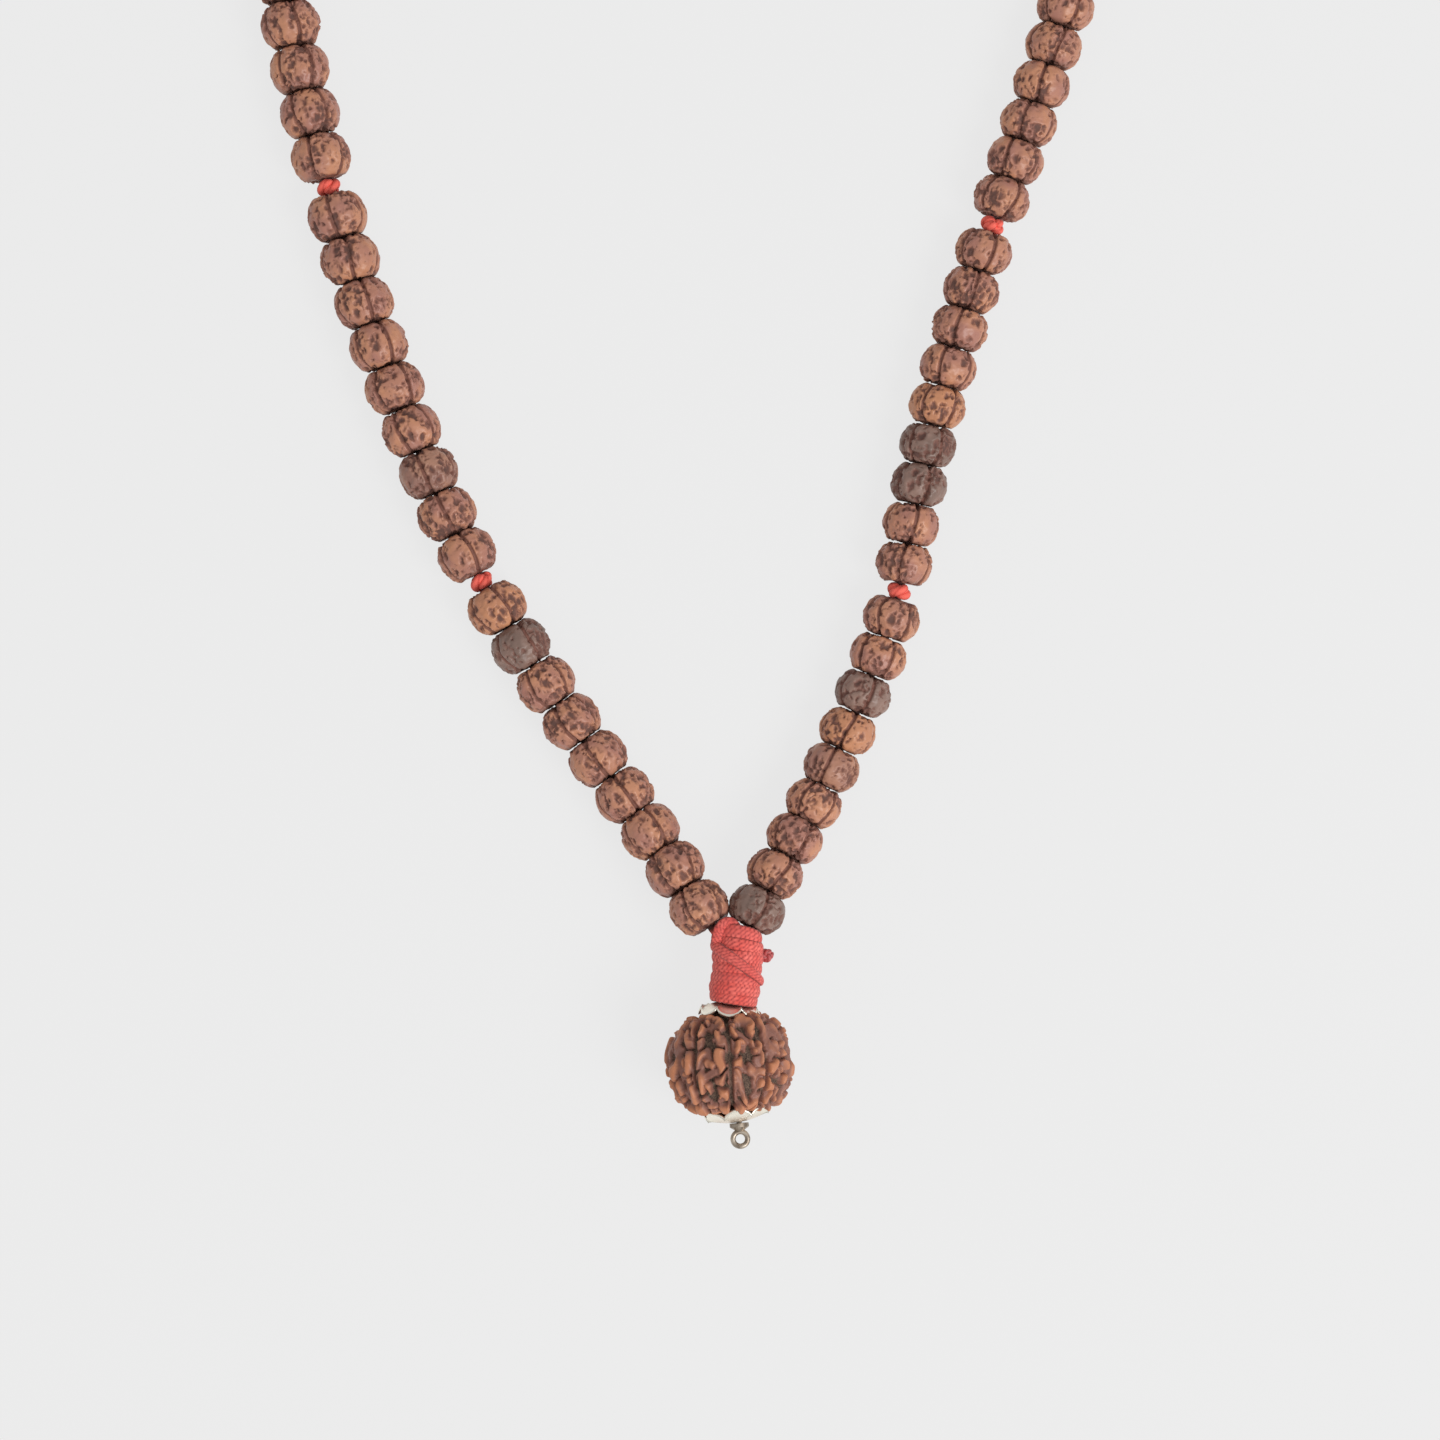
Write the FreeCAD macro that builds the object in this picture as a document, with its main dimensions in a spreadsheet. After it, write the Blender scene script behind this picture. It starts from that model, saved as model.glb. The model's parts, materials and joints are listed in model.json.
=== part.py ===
import FreeCAD, Part
import math
import os

import Sketcher

# Mala of 108 seeds on a knotted cord, with a large guru seed hung at the neck.
#
# Frame: the mala lies flat on a table.  +Z is up, +Y runs from the guru seed
# towards the back of the loop, and the origin is under the middle of its box.
# While it is built, the layout is measured from the neck pivot: the point that
# the cord turns round where the guru seed's pin hooks into it.

Vector = FreeCAD.Vector
doc = FreeCAD.newDocument("mala")

# ---------------------------------------------------------------------------
# Driving dimensions, in millimetres and degrees
# ---------------------------------------------------------------------------
SIZES = [
    # seeds of the loop, graded in three sizes round it
    ("large_diameter", 8.75, "across the largest seeds"),
    ("large_length", 6.5, "pole to pole of the largest seeds"),
    ("medium_diameter", 8.6, "across the middle seeds"),
    ("medium_length", 6.15, "pole to pole of the middle seeds"),
    ("small_diameter", 8.4, "across the smallest seeds"),
    ("small_length", 5.75, "pole to pole of the smallest seeds"),
    ("pole_diameter", 3.5, "flat at each pole of a seed"),
    ("seam_diameter", 0.62, "round bottom of the seams between the faces"),
    ("seam_count", 5, "faces of a seed"),
    ("seed_gap", 0.25, "play between neighbours on the cord"),
    ("bore_play", 0.25, "radial play of a seed on the cord"),
    # cord
    ("cord_diameter", 1.2, "twisted cord through the seeds"),
    ("knot_diameter", 3.3, "across a knot of the cord"),
    ("knot_length", 2.1, "a knot along the cord"),
    ("knot_waist", 0.35, "depth of the hollow round a knot"),
    ("knot_seat", 0.08, "radial play of a knot on the cord"),
    # guru seed
    ("guru_diameter", 19.8, "across the nodules"),
    ("guru_height", 16.6, "pole to pole"),
    ("guru_pole_diameter", 3.4, "flat at each pole"),
    ("guru_seam_diameter", 1.7, "round bottom of the five clefts"),
    ("nodule_diameter", 2.9, "ball of a nodule on the guru seed"),
    ("nodule_rise", 0.6, "a nodule over the seed between them"),
    ("guru_tilt", 4.5, "turn of the pendant in the table plane"),
    ("guru_droop", 3.5, "fall of the pendant axis towards the neck"),
    # silver caps
    ("top_cap_diameter", 9.3, "neck side"),
    ("bottom_cap_diameter", 10.3, "eye side"),
    ("cap_rise", 1.15, "crown of a cap over its rim"),
    ("cap_wall", 0.45, "sheet thickness"),
    ("cap_petals", 7, "petals of a cap"),
    ("cap_petal_width", 4.4, "across one petal"),
    ("cap_seat", 0.08, "play between a cap and the guru seed"),
    # eye pin
    ("wire_diameter", 0.8, "silver wire"),
    ("pin_play", 0.2, "radial play of the guru seed on the pin"),
    ("eye_diameter", 2.15, "middle line of the lower eye"),
    ("collar_diameter", 2.85, "flange under the lower cap"),
    ("collar_thickness", 0.55, "flange under the lower cap"),
    ("collar_cone", 0.7, "taper from the flange to the eye"),
    ("hook_play", 0.3, "play of the upper eye round the cord"),
    ("end_play", 0.15, "play of the guru seed along the pin"),
    # bound neck
    ("wrap_diameter", 7.5, "thread wound round the neck"),
    ("wrap_dome", 7.2, "domed top of the winding, about the pivot"),
    ("wrap_wall", 0.7, "thickness of the winding"),
    ("wrap_shoulder", 1.2, "pivot to where the winding is widest"),
    ("wrap_length", 6.75, "pivot to the end of the winding at the top cap"),
    ("wrap_floor", 1.6, "thickness of the winding's lower end"),
    ("wrap_taper", 0.2, "fall of the winding's radius to its lower end"),
    ("wrap_hole", 2.6, "hole for the pin in the winding's lower end"),
    ("wrap_lean", 6.5, "lean of the winding from the pin"),
    ("neck_offset", 1.47, "pivot from the axis of the pin"),
    ("left_lead", 0.58, "lowest left seed's end, inside its own radius from the pivot"),
    ("right_lead", 2.35, "lowest right seed's end, inside its own radius from the pivot"),
    ("mouth_play", 0.4, "play of the cord in the mouth of the winding"),
    ("tail_diameter", 1.6, "knot at the thread's end"),
    ("tail_length", 2.0, "knot at the thread's end"),
    ("tail_seat", 0.05, "play between that knot and the winding"),
    ("tail_drop", 1.2, "pivot to that knot, along the winding"),
]

SEEDS_PER_GROUP = 9
GROUPS = ["large"] * 4 + ["medium"] * 4 + ["small"] * 4
FREE_SEEDS = 24           # turning seeds on each arm, counted from the neck
BACK_NODES = 4            # the seeds between them, in this many nodes
SEED_TURN = 137.5         # each seed is turned this much from the last, degrees
SEAM_OVERRUN = 8          # a seam runs out past the poles by this in all, degrees
STRETCH_STEPS = 12        # rounds in which the route is fitted to the seeds
NO_RUN = 1e-4             # a run shorter than this is none
VOLUME_ERROR = 0.01       # share by which the cord's volume may be off

sizes = doc.addObject("Spreadsheet::Sheet", "sizes")
for row, (alias, value, note) in enumerate(SIZES, start=1):
    sizes.set("A%d" % row, alias)
    sizes.set("B%d" % row, str(value))
    sizes.set("C%d" % row, note)
    sizes.setAlias("B%d" % row, alias)
doc.recompute()


def size(alias):
    return float(getattr(sizes, alias))


def value(expression):
    """The number that a spreadsheet expression stands for."""
    return float(sizes.evalExpression(expression.replace("sizes.", "")))


# ---------------------------------------------------------------------------
# Sketch helpers
# ---------------------------------------------------------------------------
def plane(body, role):
    return [f for f in body.Origin.OriginFeatures if f.Role == role][0]


def new_body(name, label):
    body = doc.addObject("PartDesign::Body", name)
    body.Label = label
    return body


def new_sketch(body, name, role="XZ_Plane"):
    sketch = body.newObject("Sketcher::SketchObject", name)
    sketch.AttachmentSupport = [(plane(body, role), "")]
    sketch.MapMode = "FlatFace"
    return sketch


def bind(sketch, constraint, expression):
    """Adds a dimension to the sketch and ties it to the spreadsheet."""
    index = sketch.addConstraint(constraint)
    sketch.setExpression("Constraints[%d]" % index, expression)


def closed_lines(sketch, points):
    """Draws a closed outline of straight lines and joins its corners."""
    first = sketch.GeometryCount
    count = len(points)
    for i, start in enumerate(points):
        end = points[(i + 1) % count]
        sketch.addGeometry(Part.LineSegment(Vector(*start, 0), Vector(*end, 0)), False)
    for i in range(count):
        sketch.addConstraint(
            Sketcher.Constraint("Coincident", first + i, 2, first + (i + 1) % count, 1)
        )


def revolve(body, sketch, name, kind="PartDesign::Revolution", axis="V_Axis", angle=360.0):
    feature = body.newObject(kind, name)
    feature.Profile = sketch
    feature.ReferenceAxis = (sketch, [axis])
    feature.Angle = angle
    feature.Midplane = angle < 360.0
    return feature


def ring_of(body, feature, name, count_alias):
    """Repeats the body's last feature evenly round its Z axis."""
    pattern = body.newObject("PartDesign::PolarPattern", name)
    pattern.Originals = [feature]
    pattern.Axis = (plane(body, "Z_Axis"), [""])
    pattern.Angle = 360
    pattern.setExpression("Occurrences", "sizes." + count_alias)
    body.Tip = pattern
    return pattern


# ---------------------------------------------------------------------------
# Seeds: turned blanks with a bore, cut by seams from pole to pole
# ---------------------------------------------------------------------------
def with_nodules(blank, name, nodules, middle, equator):
    """A body like the blank, with balls standing out of each face.  A nodule is two
    angles: from the middle of its face, and from the equator.  The blank's outline
    is an arc that reaches the equator's radius from a middle at its own radius."""
    faces = int(size("seam_count"))
    deep = equator - middle + size("nodule_rise") - size("nodule_diameter") / 2
    balls = []
    for face in range(faces):
        for round_it, rise in nodules:
            turn = FreeCAD.Rotation(360 * (face + 0.5) / faces + round_it, 90 - rise, 0)
            outward = turn.multVec(Vector(0, 0, 1))
            level = Vector(outward.x, outward.y, 0).normalize()
            ball = doc.addObject("Part::Sphere", name + "_nodule")
            ball.setExpression("Radius", "sizes.nodule_diameter / 2")
            ball.Placement = FreeCAD.Placement(level * middle + outward * deep, turn)
            balls.append(ball)
    rough = doc.addObject("Part::MultiFuse", name + "_rough")
    rough.Shapes = [blank] + balls
    doc.recompute()
    body = new_body(name, name)
    body.BaseFeature = rough
    doc.recompute()
    return body


def make_seed(name, diameter, length, pole, seam, bore, nodules=()):
    """A round seed with flat poles; every argument is a spreadsheet expression,
    but for the nodules of each face."""
    label = name + "_blank" if nodules else name
    body = new_body(label, label)
    radius = "(%s) / 2" % diameter
    half = "(%s) / 2" % length
    flat = "(%s) / 2" % pole
    belly = "((%s)^2 - (%s)^2 - (%s)^2) / (2 * ((%s) - (%s)))" % (radius, flat, half, radius, flat)

    r, h, f, c, b = (value(e) for e in (radius, half, flat, belly, bore))
    sketch = new_sketch(body, name + "_profile")
    top = math.atan2(h, f - c)
    sketch.addGeometry(Part.LineSegment(Vector(b, h, 0), Vector(b, -h, 0)), False)
    sketch.addGeometry(Part.LineSegment(Vector(b, -h, 0), Vector(f, -h, 0)), False)
    circle = Part.Circle(Vector(c, 0, 0), Vector(0, 0, 1), r - c)
    sketch.addGeometry(Part.ArcOfCircle(circle, -top, top), False)
    sketch.addGeometry(Part.LineSegment(Vector(f, h, 0), Vector(b, h, 0)), False)
    for a, pa, d, pd in ((0, 2, 1, 1), (1, 2, 2, 1), (2, 2, 3, 1), (3, 2, 0, 1)):
        sketch.addConstraint(Sketcher.Constraint("Coincident", a, pa, d, pd))
    sketch.addConstraint(Sketcher.Constraint("Vertical", 0))
    sketch.addConstraint(Sketcher.Constraint("Horizontal", 1))
    sketch.addConstraint(Sketcher.Constraint("Horizontal", 3))
    sketch.addConstraint(Sketcher.Constraint("PointOnObject", 2, 3, -1))
    bind(sketch, Sketcher.Constraint("DistanceX", -1, 1, 0, 1, b), bore)
    bind(sketch, Sketcher.Constraint("DistanceY", -1, 1, 0, 1, h), half)
    bind(sketch, Sketcher.Constraint("DistanceX", -1, 1, 2, 2, f), flat)
    bind(sketch, Sketcher.Constraint("DistanceX", -1, 1, 2, 3, c), belly)
    revolve(body, sketch, name + "_turned")
    if nodules:
        body = with_nodules(body, name, nodules, c, r)

    # one seam: a round-bottomed channel that follows the outline from pole to pole
    cut = new_sketch(body, name + "_seam", "XY_Plane")
    cut.addGeometry(Part.Circle(Vector(r, 0, 0), Vector(0, 0, 1), value(seam) / 2), False)
    cut.addGeometry(Part.LineSegment(Vector(c, -r, 0), Vector(c, r, 0)), True)
    cut.addConstraint(Sketcher.Constraint("PointOnObject", 0, 3, -1))
    cut.addConstraint(Sketcher.Constraint("Symmetric", 1, 1, 1, 2, -1))
    bind(cut, Sketcher.Constraint("DistanceX", -1, 1, 0, 3, r), radius)
    bind(cut, Sketcher.Constraint("Diameter", 0, value(seam)), seam)
    bind(cut, Sketcher.Constraint("DistanceX", -1, 1, 1, 1, c), belly)
    bind(cut, Sketcher.Constraint("DistanceY", -1, 1, 1, 2, r), radius)
    sweep = 2 * math.degrees(top) + SEAM_OVERRUN
    groove = revolve(body, cut, name + "_groove", "PartDesign::Groove", "Axis0", sweep)
    doc.recompute()
    ring_of(body, groove, name + "_seams", "seam_count")
    return body


BORE = "sizes.cord_diameter / 2 + sizes.bore_play"
PIN_BORE = "sizes.wire_diameter / 2 + sizes.pin_play"
seed_masters = {
    name: make_seed(
        name + "_seed",
        "sizes.%s_diameter" % name,
        "sizes.%s_length" % name,
        "sizes.pole_diameter",
        "sizes.seam_diameter",
        BORE,
    )
    for name in ("large", "medium", "small")
}
# on each face of the guru seed: degrees from its middle line, and from the equator
NODULES = [
    (-25, -34), (-24, -12), (-25, 11), (-24, 33),
    (-9, -26), (-8, 0), (-9, 24),
    (8, -39), (9, -14), (8, 13), (9, 38),
    (25, -30), (24, -5), (25, 19), (24, 42),
]
guru = make_seed(
    "guru_bead",
    "sizes.guru_diameter - 2 * sizes.nodule_rise",
    "sizes.guru_height",
    "sizes.guru_pole_diameter",
    "sizes.guru_seam_diameter",
    PIN_BORE,
    NODULES,
)


# ---------------------------------------------------------------------------
# Guru pendant, in its own frame: origin in the guru seed, Z up the pin to the
# neck, X to the right across the table, Y down to the table
# ---------------------------------------------------------------------------
def guru_surface(radius):
    """Height of the guru seed's outline over its middle, at this radius."""
    r = size("guru_diameter") / 2 - size("nodule_rise")
    h, f = size("guru_height") / 2, size("guru_pole_diameter") / 2
    c = (r * r - f * f - h * h) / (2 * (r - f))
    return math.sqrt((r - c) ** 2 - (radius - c) ** 2)


def cap_rim(diameter):
    """Radius of the cap's inner edge, where it sits on the guru seed."""
    return diameter / 2 - size("cap_wall") / 2


def cap_base(diameter):
    return guru_surface(cap_rim(diameter)) + size("cap_seat")


def cap_top(diameter):
    return cap_base(diameter) + size("cap_rise") + size("cap_wall")


def make_cap(name, diameter_alias):
    """A domed sheet cap with rounded petals; rim at Z 0, crown upwards."""
    body = new_body(name, name)
    outer = size(diameter_alias) / 2
    wall, rise, rim = size("cap_wall"), size("cap_rise"), cap_rim(2 * outer)
    hole = size("wire_diameter") / 2 + size("pin_play")
    dome = (rim * rim + rise * rise) / (2 * rise)
    centre = rise - dome
    lean = math.asin(rim / dome)

    def on_dome(radius, angle):
        return Vector(radius * math.sin(angle), centre + radius * math.cos(angle), 0)

    inside, outside = math.asin(hole / dome), math.asin(hole / (dome + wall))
    arcs = ((dome, inside), (dome + wall, outside))
    sketch = new_sketch(body, name + "_section")
    for radius, start in arcs:
        circle = Part.Circle(Vector(0, centre, 0), Vector(0, 0, 1), radius)
        arc = Part.ArcOfCircle(circle, math.pi / 2 - lean, math.pi / 2 - start)
        sketch.addGeometry(arc, False)
    for a, b in (
        (on_dome(dome, lean), on_dome(dome + wall, lean)),
        (on_dome(dome + wall, outside), on_dome(dome, inside)),
    ):
        sketch.addGeometry(Part.LineSegment(a, b), False)
    for a, pa, b, pb in ((0, 1, 2, 1), (2, 2, 1, 1), (1, 2, 3, 1), (3, 2, 0, 2)):
        sketch.addConstraint(Sketcher.Constraint("Coincident", a, pa, b, pb))
    revolve(body, sketch, name + "_dome")

    # everything outside a ring of overlapping petal circles is cut away
    petals = int(size("cap_petals"))
    petal = size("cap_petal_width") / 2
    ring = outer - petal
    half = math.pi / petals
    notch = ring * math.cos(half) + math.sqrt(petal ** 2 - (ring * math.sin(half)) ** 2)
    sweep = math.atan2(notch * math.sin(half), notch * math.cos(half) - ring)
    flower = new_sketch(body, name + "_petals", "XY_Plane")
    for k in range(petals):
        turn = 2 * half * k
        middle = Vector(ring * math.cos(turn), ring * math.sin(turn), 0)
        circle = Part.Circle(middle, Vector(0, 0, 1), petal)
        flower.addGeometry(Part.ArcOfCircle(circle, turn - sweep, turn + sweep), False)
    for k in range(petals):
        flower.addConstraint(Sketcher.Constraint("Coincident", k, 2, (k + 1) % petals, 1))
    waste = Part.Circle(Vector(0, 0, 0), Vector(0, 0, 1), 2 * outer)
    flower.addGeometry(waste, False)
    bind(flower, Sketcher.Constraint("Diameter", petals, 4 * outer), "2 * sizes." + diameter_alias)
    pocket = body.newObject("PartDesign::Pocket", name + "_scallops")
    pocket.Profile = flower
    pocket.Type = "ThroughAll"
    pocket.Midplane = True
    doc.recompute()
    body.Tip = pocket
    return body


top_cap = make_cap("top_cap", "top_cap_diameter")
bottom_cap = make_cap("bottom_cap", "bottom_cap_diameter")

HOOK = size("cord_diameter") / 2 + size("hook_play") + size("wire_diameter") / 2
REACH = cap_top(size("top_cap_diameter")) + size("end_play") + size("wrap_length")


def make_eye_pin():
    """A wire through the guru seed, with an eye at each end and a collar."""
    body = new_body("eye_pin", "eye_pin")
    wire = size("wire_diameter") / 2
    collar = size("collar_diameter") / 2
    bend_start = REACH - size("wrap_length")
    collar_top = -cap_top(size("bottom_cap_diameter")) - size("end_play")
    collar_low = collar_top - size("collar_thickness")
    cone_low = collar_low - size("collar_cone")
    turned = new_sketch(body, "pin_outline")
    closed_lines(turned, [
        (0, bend_start), (0, cone_low), (wire, cone_low), (collar, collar_low),
        (collar, collar_top), (wire, collar_top), (wire, bend_start),
    ])
    for upright in (0, 3, 5):
        turned.addConstraint(Sketcher.Constraint("Vertical", upright))
    bind(turned, Sketcher.Constraint("DistanceX", -1, 1, 2, 1, wire), "sizes.wire_diameter / 2")
    bind(turned, Sketcher.Constraint("DistanceX", -1, 1, 4, 1, collar), "sizes.collar_diameter / 2")
    revolve(body, turned, "pin_shank")

    # lower eye, flat to the table, so that it hangs face on
    eye = body.newObject("PartDesign::AdditiveTorus", "lower_eye")
    eye.setExpression("Radius1", "sizes.eye_diameter / 2")
    eye.setExpression("Radius2", "sizes.wire_diameter / 2")
    eye.AttachmentSupport = [(plane(body, "XZ_Plane"), "")]
    eye.MapMode = "FlatFace"
    eye.AttachmentOffset = FreeCAD.Placement(
        Vector(0, cone_low - size("eye_diameter") / 2, 0), FreeCAD.Rotation(Vector(0, 0, 1), -90)
    )

    # above the seed the wire leans over to the hook, whose hole holds the cord
    hook_middle = REACH - HOOK
    lean_end = (size("neck_offset"), hook_middle - HOOK)
    angle = math.atan2(lean_end[0], lean_end[1] - bend_start - wire)
    bend = Vector(0, bend_start + wire, 0)
    path = new_sketch(body, "pin_bend_path")
    bend_radius = 2 * wire
    reach = bend_radius * math.tan(angle / 2)
    start = Vector(0, bend.y - reach, 0)
    along = Vector(math.sin(angle), math.cos(angle), 0)
    centre = Vector(bend_radius, start.y, 0)
    circle = Part.Circle(centre, Vector(0, 0, 1), bend_radius)
    arc = Part.ArcOfCircle(circle, math.pi - angle, math.pi)
    path.addGeometry(Part.LineSegment(Vector(0, bend_start - wire, 0), start), False)
    path.addGeometry(arc, False)
    path.addGeometry(Part.LineSegment(bend + along * reach, Vector(*lean_end, 0)), False)
    path.addConstraint(Sketcher.Constraint("Coincident", 0, 2, 1, 2))
    path.addConstraint(Sketcher.Constraint("Coincident", 1, 1, 2, 1))
    section = new_sketch(body, "pin_bend_section", "XY_Plane")
    section.AttachmentOffset = FreeCAD.Placement(Vector(0, 0, bend_start - wire), FreeCAD.Rotation())
    section.addGeometry(Part.Circle(Vector(0, 0, 0), Vector(0, 0, 1), wire), False)
    bind(section, Sketcher.Constraint("Diameter", 0, 2 * wire), "sizes.wire_diameter")
    pipe = body.newObject("PartDesign::AdditivePipe", "pin_bend")
    pipe.Profile = section
    pipe.Spine = path
    doc.recompute()
    upper = new_sketch(body, "hook_wire")
    upper.addGeometry(
        Part.Circle(Vector(lean_end[0], hook_middle + HOOK, 0), Vector(0, 0, 1), wire), False
    )
    upper.addGeometry(
        Part.LineSegment(Vector(0, hook_middle, 0), Vector(2 * lean_end[0], hook_middle, 0)), True
    )
    bind(upper, Sketcher.Constraint("Diameter", 0, 2 * wire), "sizes.wire_diameter")
    revolve(body, upper, "hook", axis="Axis0")
    doc.recompute()
    return body


eye_pin = make_eye_pin()


def make_wrap():
    """Thread wound round the neck: a domed sleeve about the pivot, open where
    the two runs of the cord come in and where the pin goes out."""
    body = new_body("thread_wrap", "thread_wrap")
    dome, side = size("wrap_dome") / 2, size("wrap_diameter") / 2
    wall, taper = size("wrap_wall"), size("wrap_taper")
    hollow = dome - wall
    floor = size("wrap_floor") - size("wrap_length")
    low = -size("wrap_length") - size("wrap_floor")
    hole = size("wrap_hole") / 2
    sketch = new_sketch(body, "wrap_section")
    for radius in (dome, hollow):
        circle = Part.Circle(Vector(0, 0, 0), Vector(0, 0, 1), radius)
        sketch.addGeometry(Part.ArcOfCircle(circle, 0, math.pi / 2), False)
    corners = [
        (dome, 0), (side, -size("wrap_shoulder")), (side - taper, low), (hole, low),
        (hole, floor), (hollow, floor), (hollow, 0),
    ]
    for a, b in list(zip(corners, corners[1:])) + [((0, hollow), (0, dome))]:
        sketch.addGeometry(Part.LineSegment(Vector(*a, 0), Vector(*b, 0)), False)
    down_the_side = [(line, 2, line + 1, 1) for line in range(2, 7)]
    for join in [(0, 1, 2, 1)] + down_the_side + [(7, 2, 1, 1), (1, 2, 8, 1), (8, 2, 0, 2)]:
        sketch.addConstraint(Sketcher.Constraint("Coincident", *join))
    sketch.addConstraint(Sketcher.Constraint("Coincident", 0, 3, -1, 1))
    bind(sketch, Sketcher.Constraint("Radius", 0, dome), "sizes.wrap_dome / 2")
    revolve(body, sketch, "wrap_sleeve")

    # mouth: a slot across the dome, as high as the cord, that lets it swing
    mouth = new_sketch(body, "wrap_mouth", "YZ_Plane")
    slot = size("cord_diameter") / 2 + size("mouth_play")
    closed_lines(mouth, [(-slot, -slot), (slot, -slot), (slot, 2 * dome), (-slot, 2 * dome)])
    cut = body.newObject("PartDesign::Pocket", "wrap_slot")
    cut.Profile = mouth
    cut.Type = "ThroughAll"
    cut.Midplane = True
    doc.recompute()

    # lower end: cut square to the pin, which leans from the winding
    lean = math.radians(size("wrap_lean"))
    foot = new_sketch(body, "wrap_foot")

    def on_foot(x):
        return (-size("wrap_length") + math.sin(lean) * x) / math.cos(lean)

    wide = 2 * side
    closed_lines(foot, [
        (-wide, on_foot(-wide)), (-wide, 2 * low), (wide, 2 * low), (wide, on_foot(wide)),
    ])
    trim = body.newObject("PartDesign::Pocket", "wrap_trim")
    trim.Profile = foot
    trim.Type = "ThroughAll"
    trim.Midplane = True
    doc.recompute()
    body.Tip = trim
    return body


thread_wrap = make_wrap()

tail_knot = doc.addObject("Part::Ellipsoid", "tail_knot")
tail_knot.Label = "thread_end_knot"
tail_knot.setExpression("Radius1", "sizes.tail_diameter / 2")
tail_knot.setExpression("Radius2", "sizes.tail_diameter / 2")
tail_knot.setExpression("Radius3", "sizes.tail_length / 2")
tail_knot.Angle1, tail_knot.Angle2, tail_knot.Angle3 = -90, 90, 360

# where the pendant lies: the guru seed rests on the table, level with the neck
tilt, droop = math.radians(size("guru_tilt")), math.radians(size("guru_droop"))
pin_axis = Vector(
    -math.sin(tilt) * math.cos(droop), math.cos(tilt) * math.cos(droop), -math.sin(droop)
)
across = Vector(math.cos(tilt), math.sin(tilt), 0)
neck_height = size("guru_diameter") / 2 - REACH * math.sin(droop)
pivot = Vector(0, 0, neck_height)
guru_middle = pivot - across * size("neck_offset") - pin_axis * REACH
pendant = FreeCAD.Placement(
    guru_middle, FreeCAD.Rotation(across, pin_axis.cross(across), pin_axis, "ZXY")
)


def placed(offset, axis=Vector(0, 0, 1), angle=0.0):
    """A place on the pendant: an offset and a turn in the pendant's frame."""
    return pendant * FreeCAD.Placement(offset, FreeCAD.Rotation(axis, angle))


CLEFT_UP = -86.0        # turns one cleft of the guru seed to the top
PETAL_UP = -90.0        # turns one petal of each cap to the top
guru.Placement = placed(Vector(0, 0, 0), angle=CLEFT_UP)
top_cap.Placement = placed(Vector(0, 0, cap_base(size("top_cap_diameter"))), angle=PETAL_UP)
flip = FreeCAD.Placement(Vector(0, 0, 0), FreeCAD.Rotation(Vector(1, 0, 0), 180))
bottom_cap.Placement = (
    placed(Vector(0, 0, -cap_base(size("bottom_cap_diameter")))) * flip
    * FreeCAD.Placement(Vector(0, 0, 0), FreeCAD.Rotation(Vector(0, 0, 1), -PETAL_UP))
)
eye_pin.Placement = pendant
thread_wrap.Placement = placed(
    Vector(size("neck_offset"), 0, REACH), Vector(0, 1, 0), size("wrap_lean")
)
tail_side = size("wrap_diameter") / 2 + size("tail_seat") + size("tail_diameter") / 2
tail_knot.Placement = thread_wrap.Placement * FreeCAD.Placement(
    Vector(tail_side, 0, -size("tail_drop")), FreeCAD.Rotation()
)

# ---------------------------------------------------------------------------
# The cord: a closed route of straight runs joined by tangent arcs
# ---------------------------------------------------------------------------
# Each arm's points follow from where its lowest seed ends, beside the neck:
# X, Y, rise from the table to the neck (0 to 1), and the seeds that lie there.
LEFT_ARM = [
    (0, 0, 1, "large"), (-3.5, 6.0, 0.72, "large"), (-10.7, 16.7, 0.12, "large"),
    (-22.5, 32.6, 0, "large"), (-32.0, 47.5, 0, "large"), (-38.7, 59.6, 0, "large"),
    (-46.0, 77.0, 0, "large"), (-53.8, 98.9, 0, "large"), (-60.6, 123.9, 0, "large"),
    (-65.4, 150.4, 0, "large"), (-68.2, 179.4, 0, "large"), (-68.4, 208.4, 0, "large"),
    (-65.2, 237.4, 0, "large"), (-57.2, 265.4, 0, "medium"), (-43.7, 289.8, 0, "medium"),
    (-24.2, 306.4, 0, "medium"), (-0.2, 313.4, 0, "medium"),
]
RIGHT_ARM = [
    (0, 0, 1, "small"), (3.0, 6.1, 0.72, "small"), (9.9, 18.0, 0.12, "small"),
    (16.5, 32.4, 0, "small"), (22.2, 47.4, 0, "small"), (23.8, 57.4, 0, "small"),
    (28.1, 77.8, 0, "small"), (35.4, 101.4, 0, "small"), (44.8, 127.9, 0, "small"),
    (53.0, 155.9, 0, "small"), (58.0, 184.4, 0, "small"), (59.4, 213.4, 0, "medium"),
    (56.8, 241.9, 0, "medium"), (49.7, 268.9, 0, "medium"), (37.2, 291.9, 0, "medium"),
    (18.2, 307.9, 0, "medium"),
]
ARC_SHARE = 0.45        # part of the shorter run that each arc may use


def arm_points(arm, start, stretch):
    """An arm's hand-laid points, stretched from its start to the cord's length."""
    points = []
    for x, y, rise, seeds in arm:
        table = size(seeds + "_diameter") / 2
        height = table + rise * (neck_height - table)
        points.append(Vector(start.x + x * stretch, start.y + y * stretch, height))
    return points


def hook_corner(outer, side):
    """Corner of the loop round the hook: where the tangent from an arm's first
    point meets the line under the hook.  side is 1 on the right, -1 on the left."""
    slope = math.atan2(-outer.y, -outer.x) + side * math.asin(HOOK / math.hypot(outer.x, outer.y))
    reach = (-HOOK - outer.y) / math.sin(slope)
    return Vector(outer.x + reach * math.cos(slope), -HOOK, neck_height)


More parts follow.
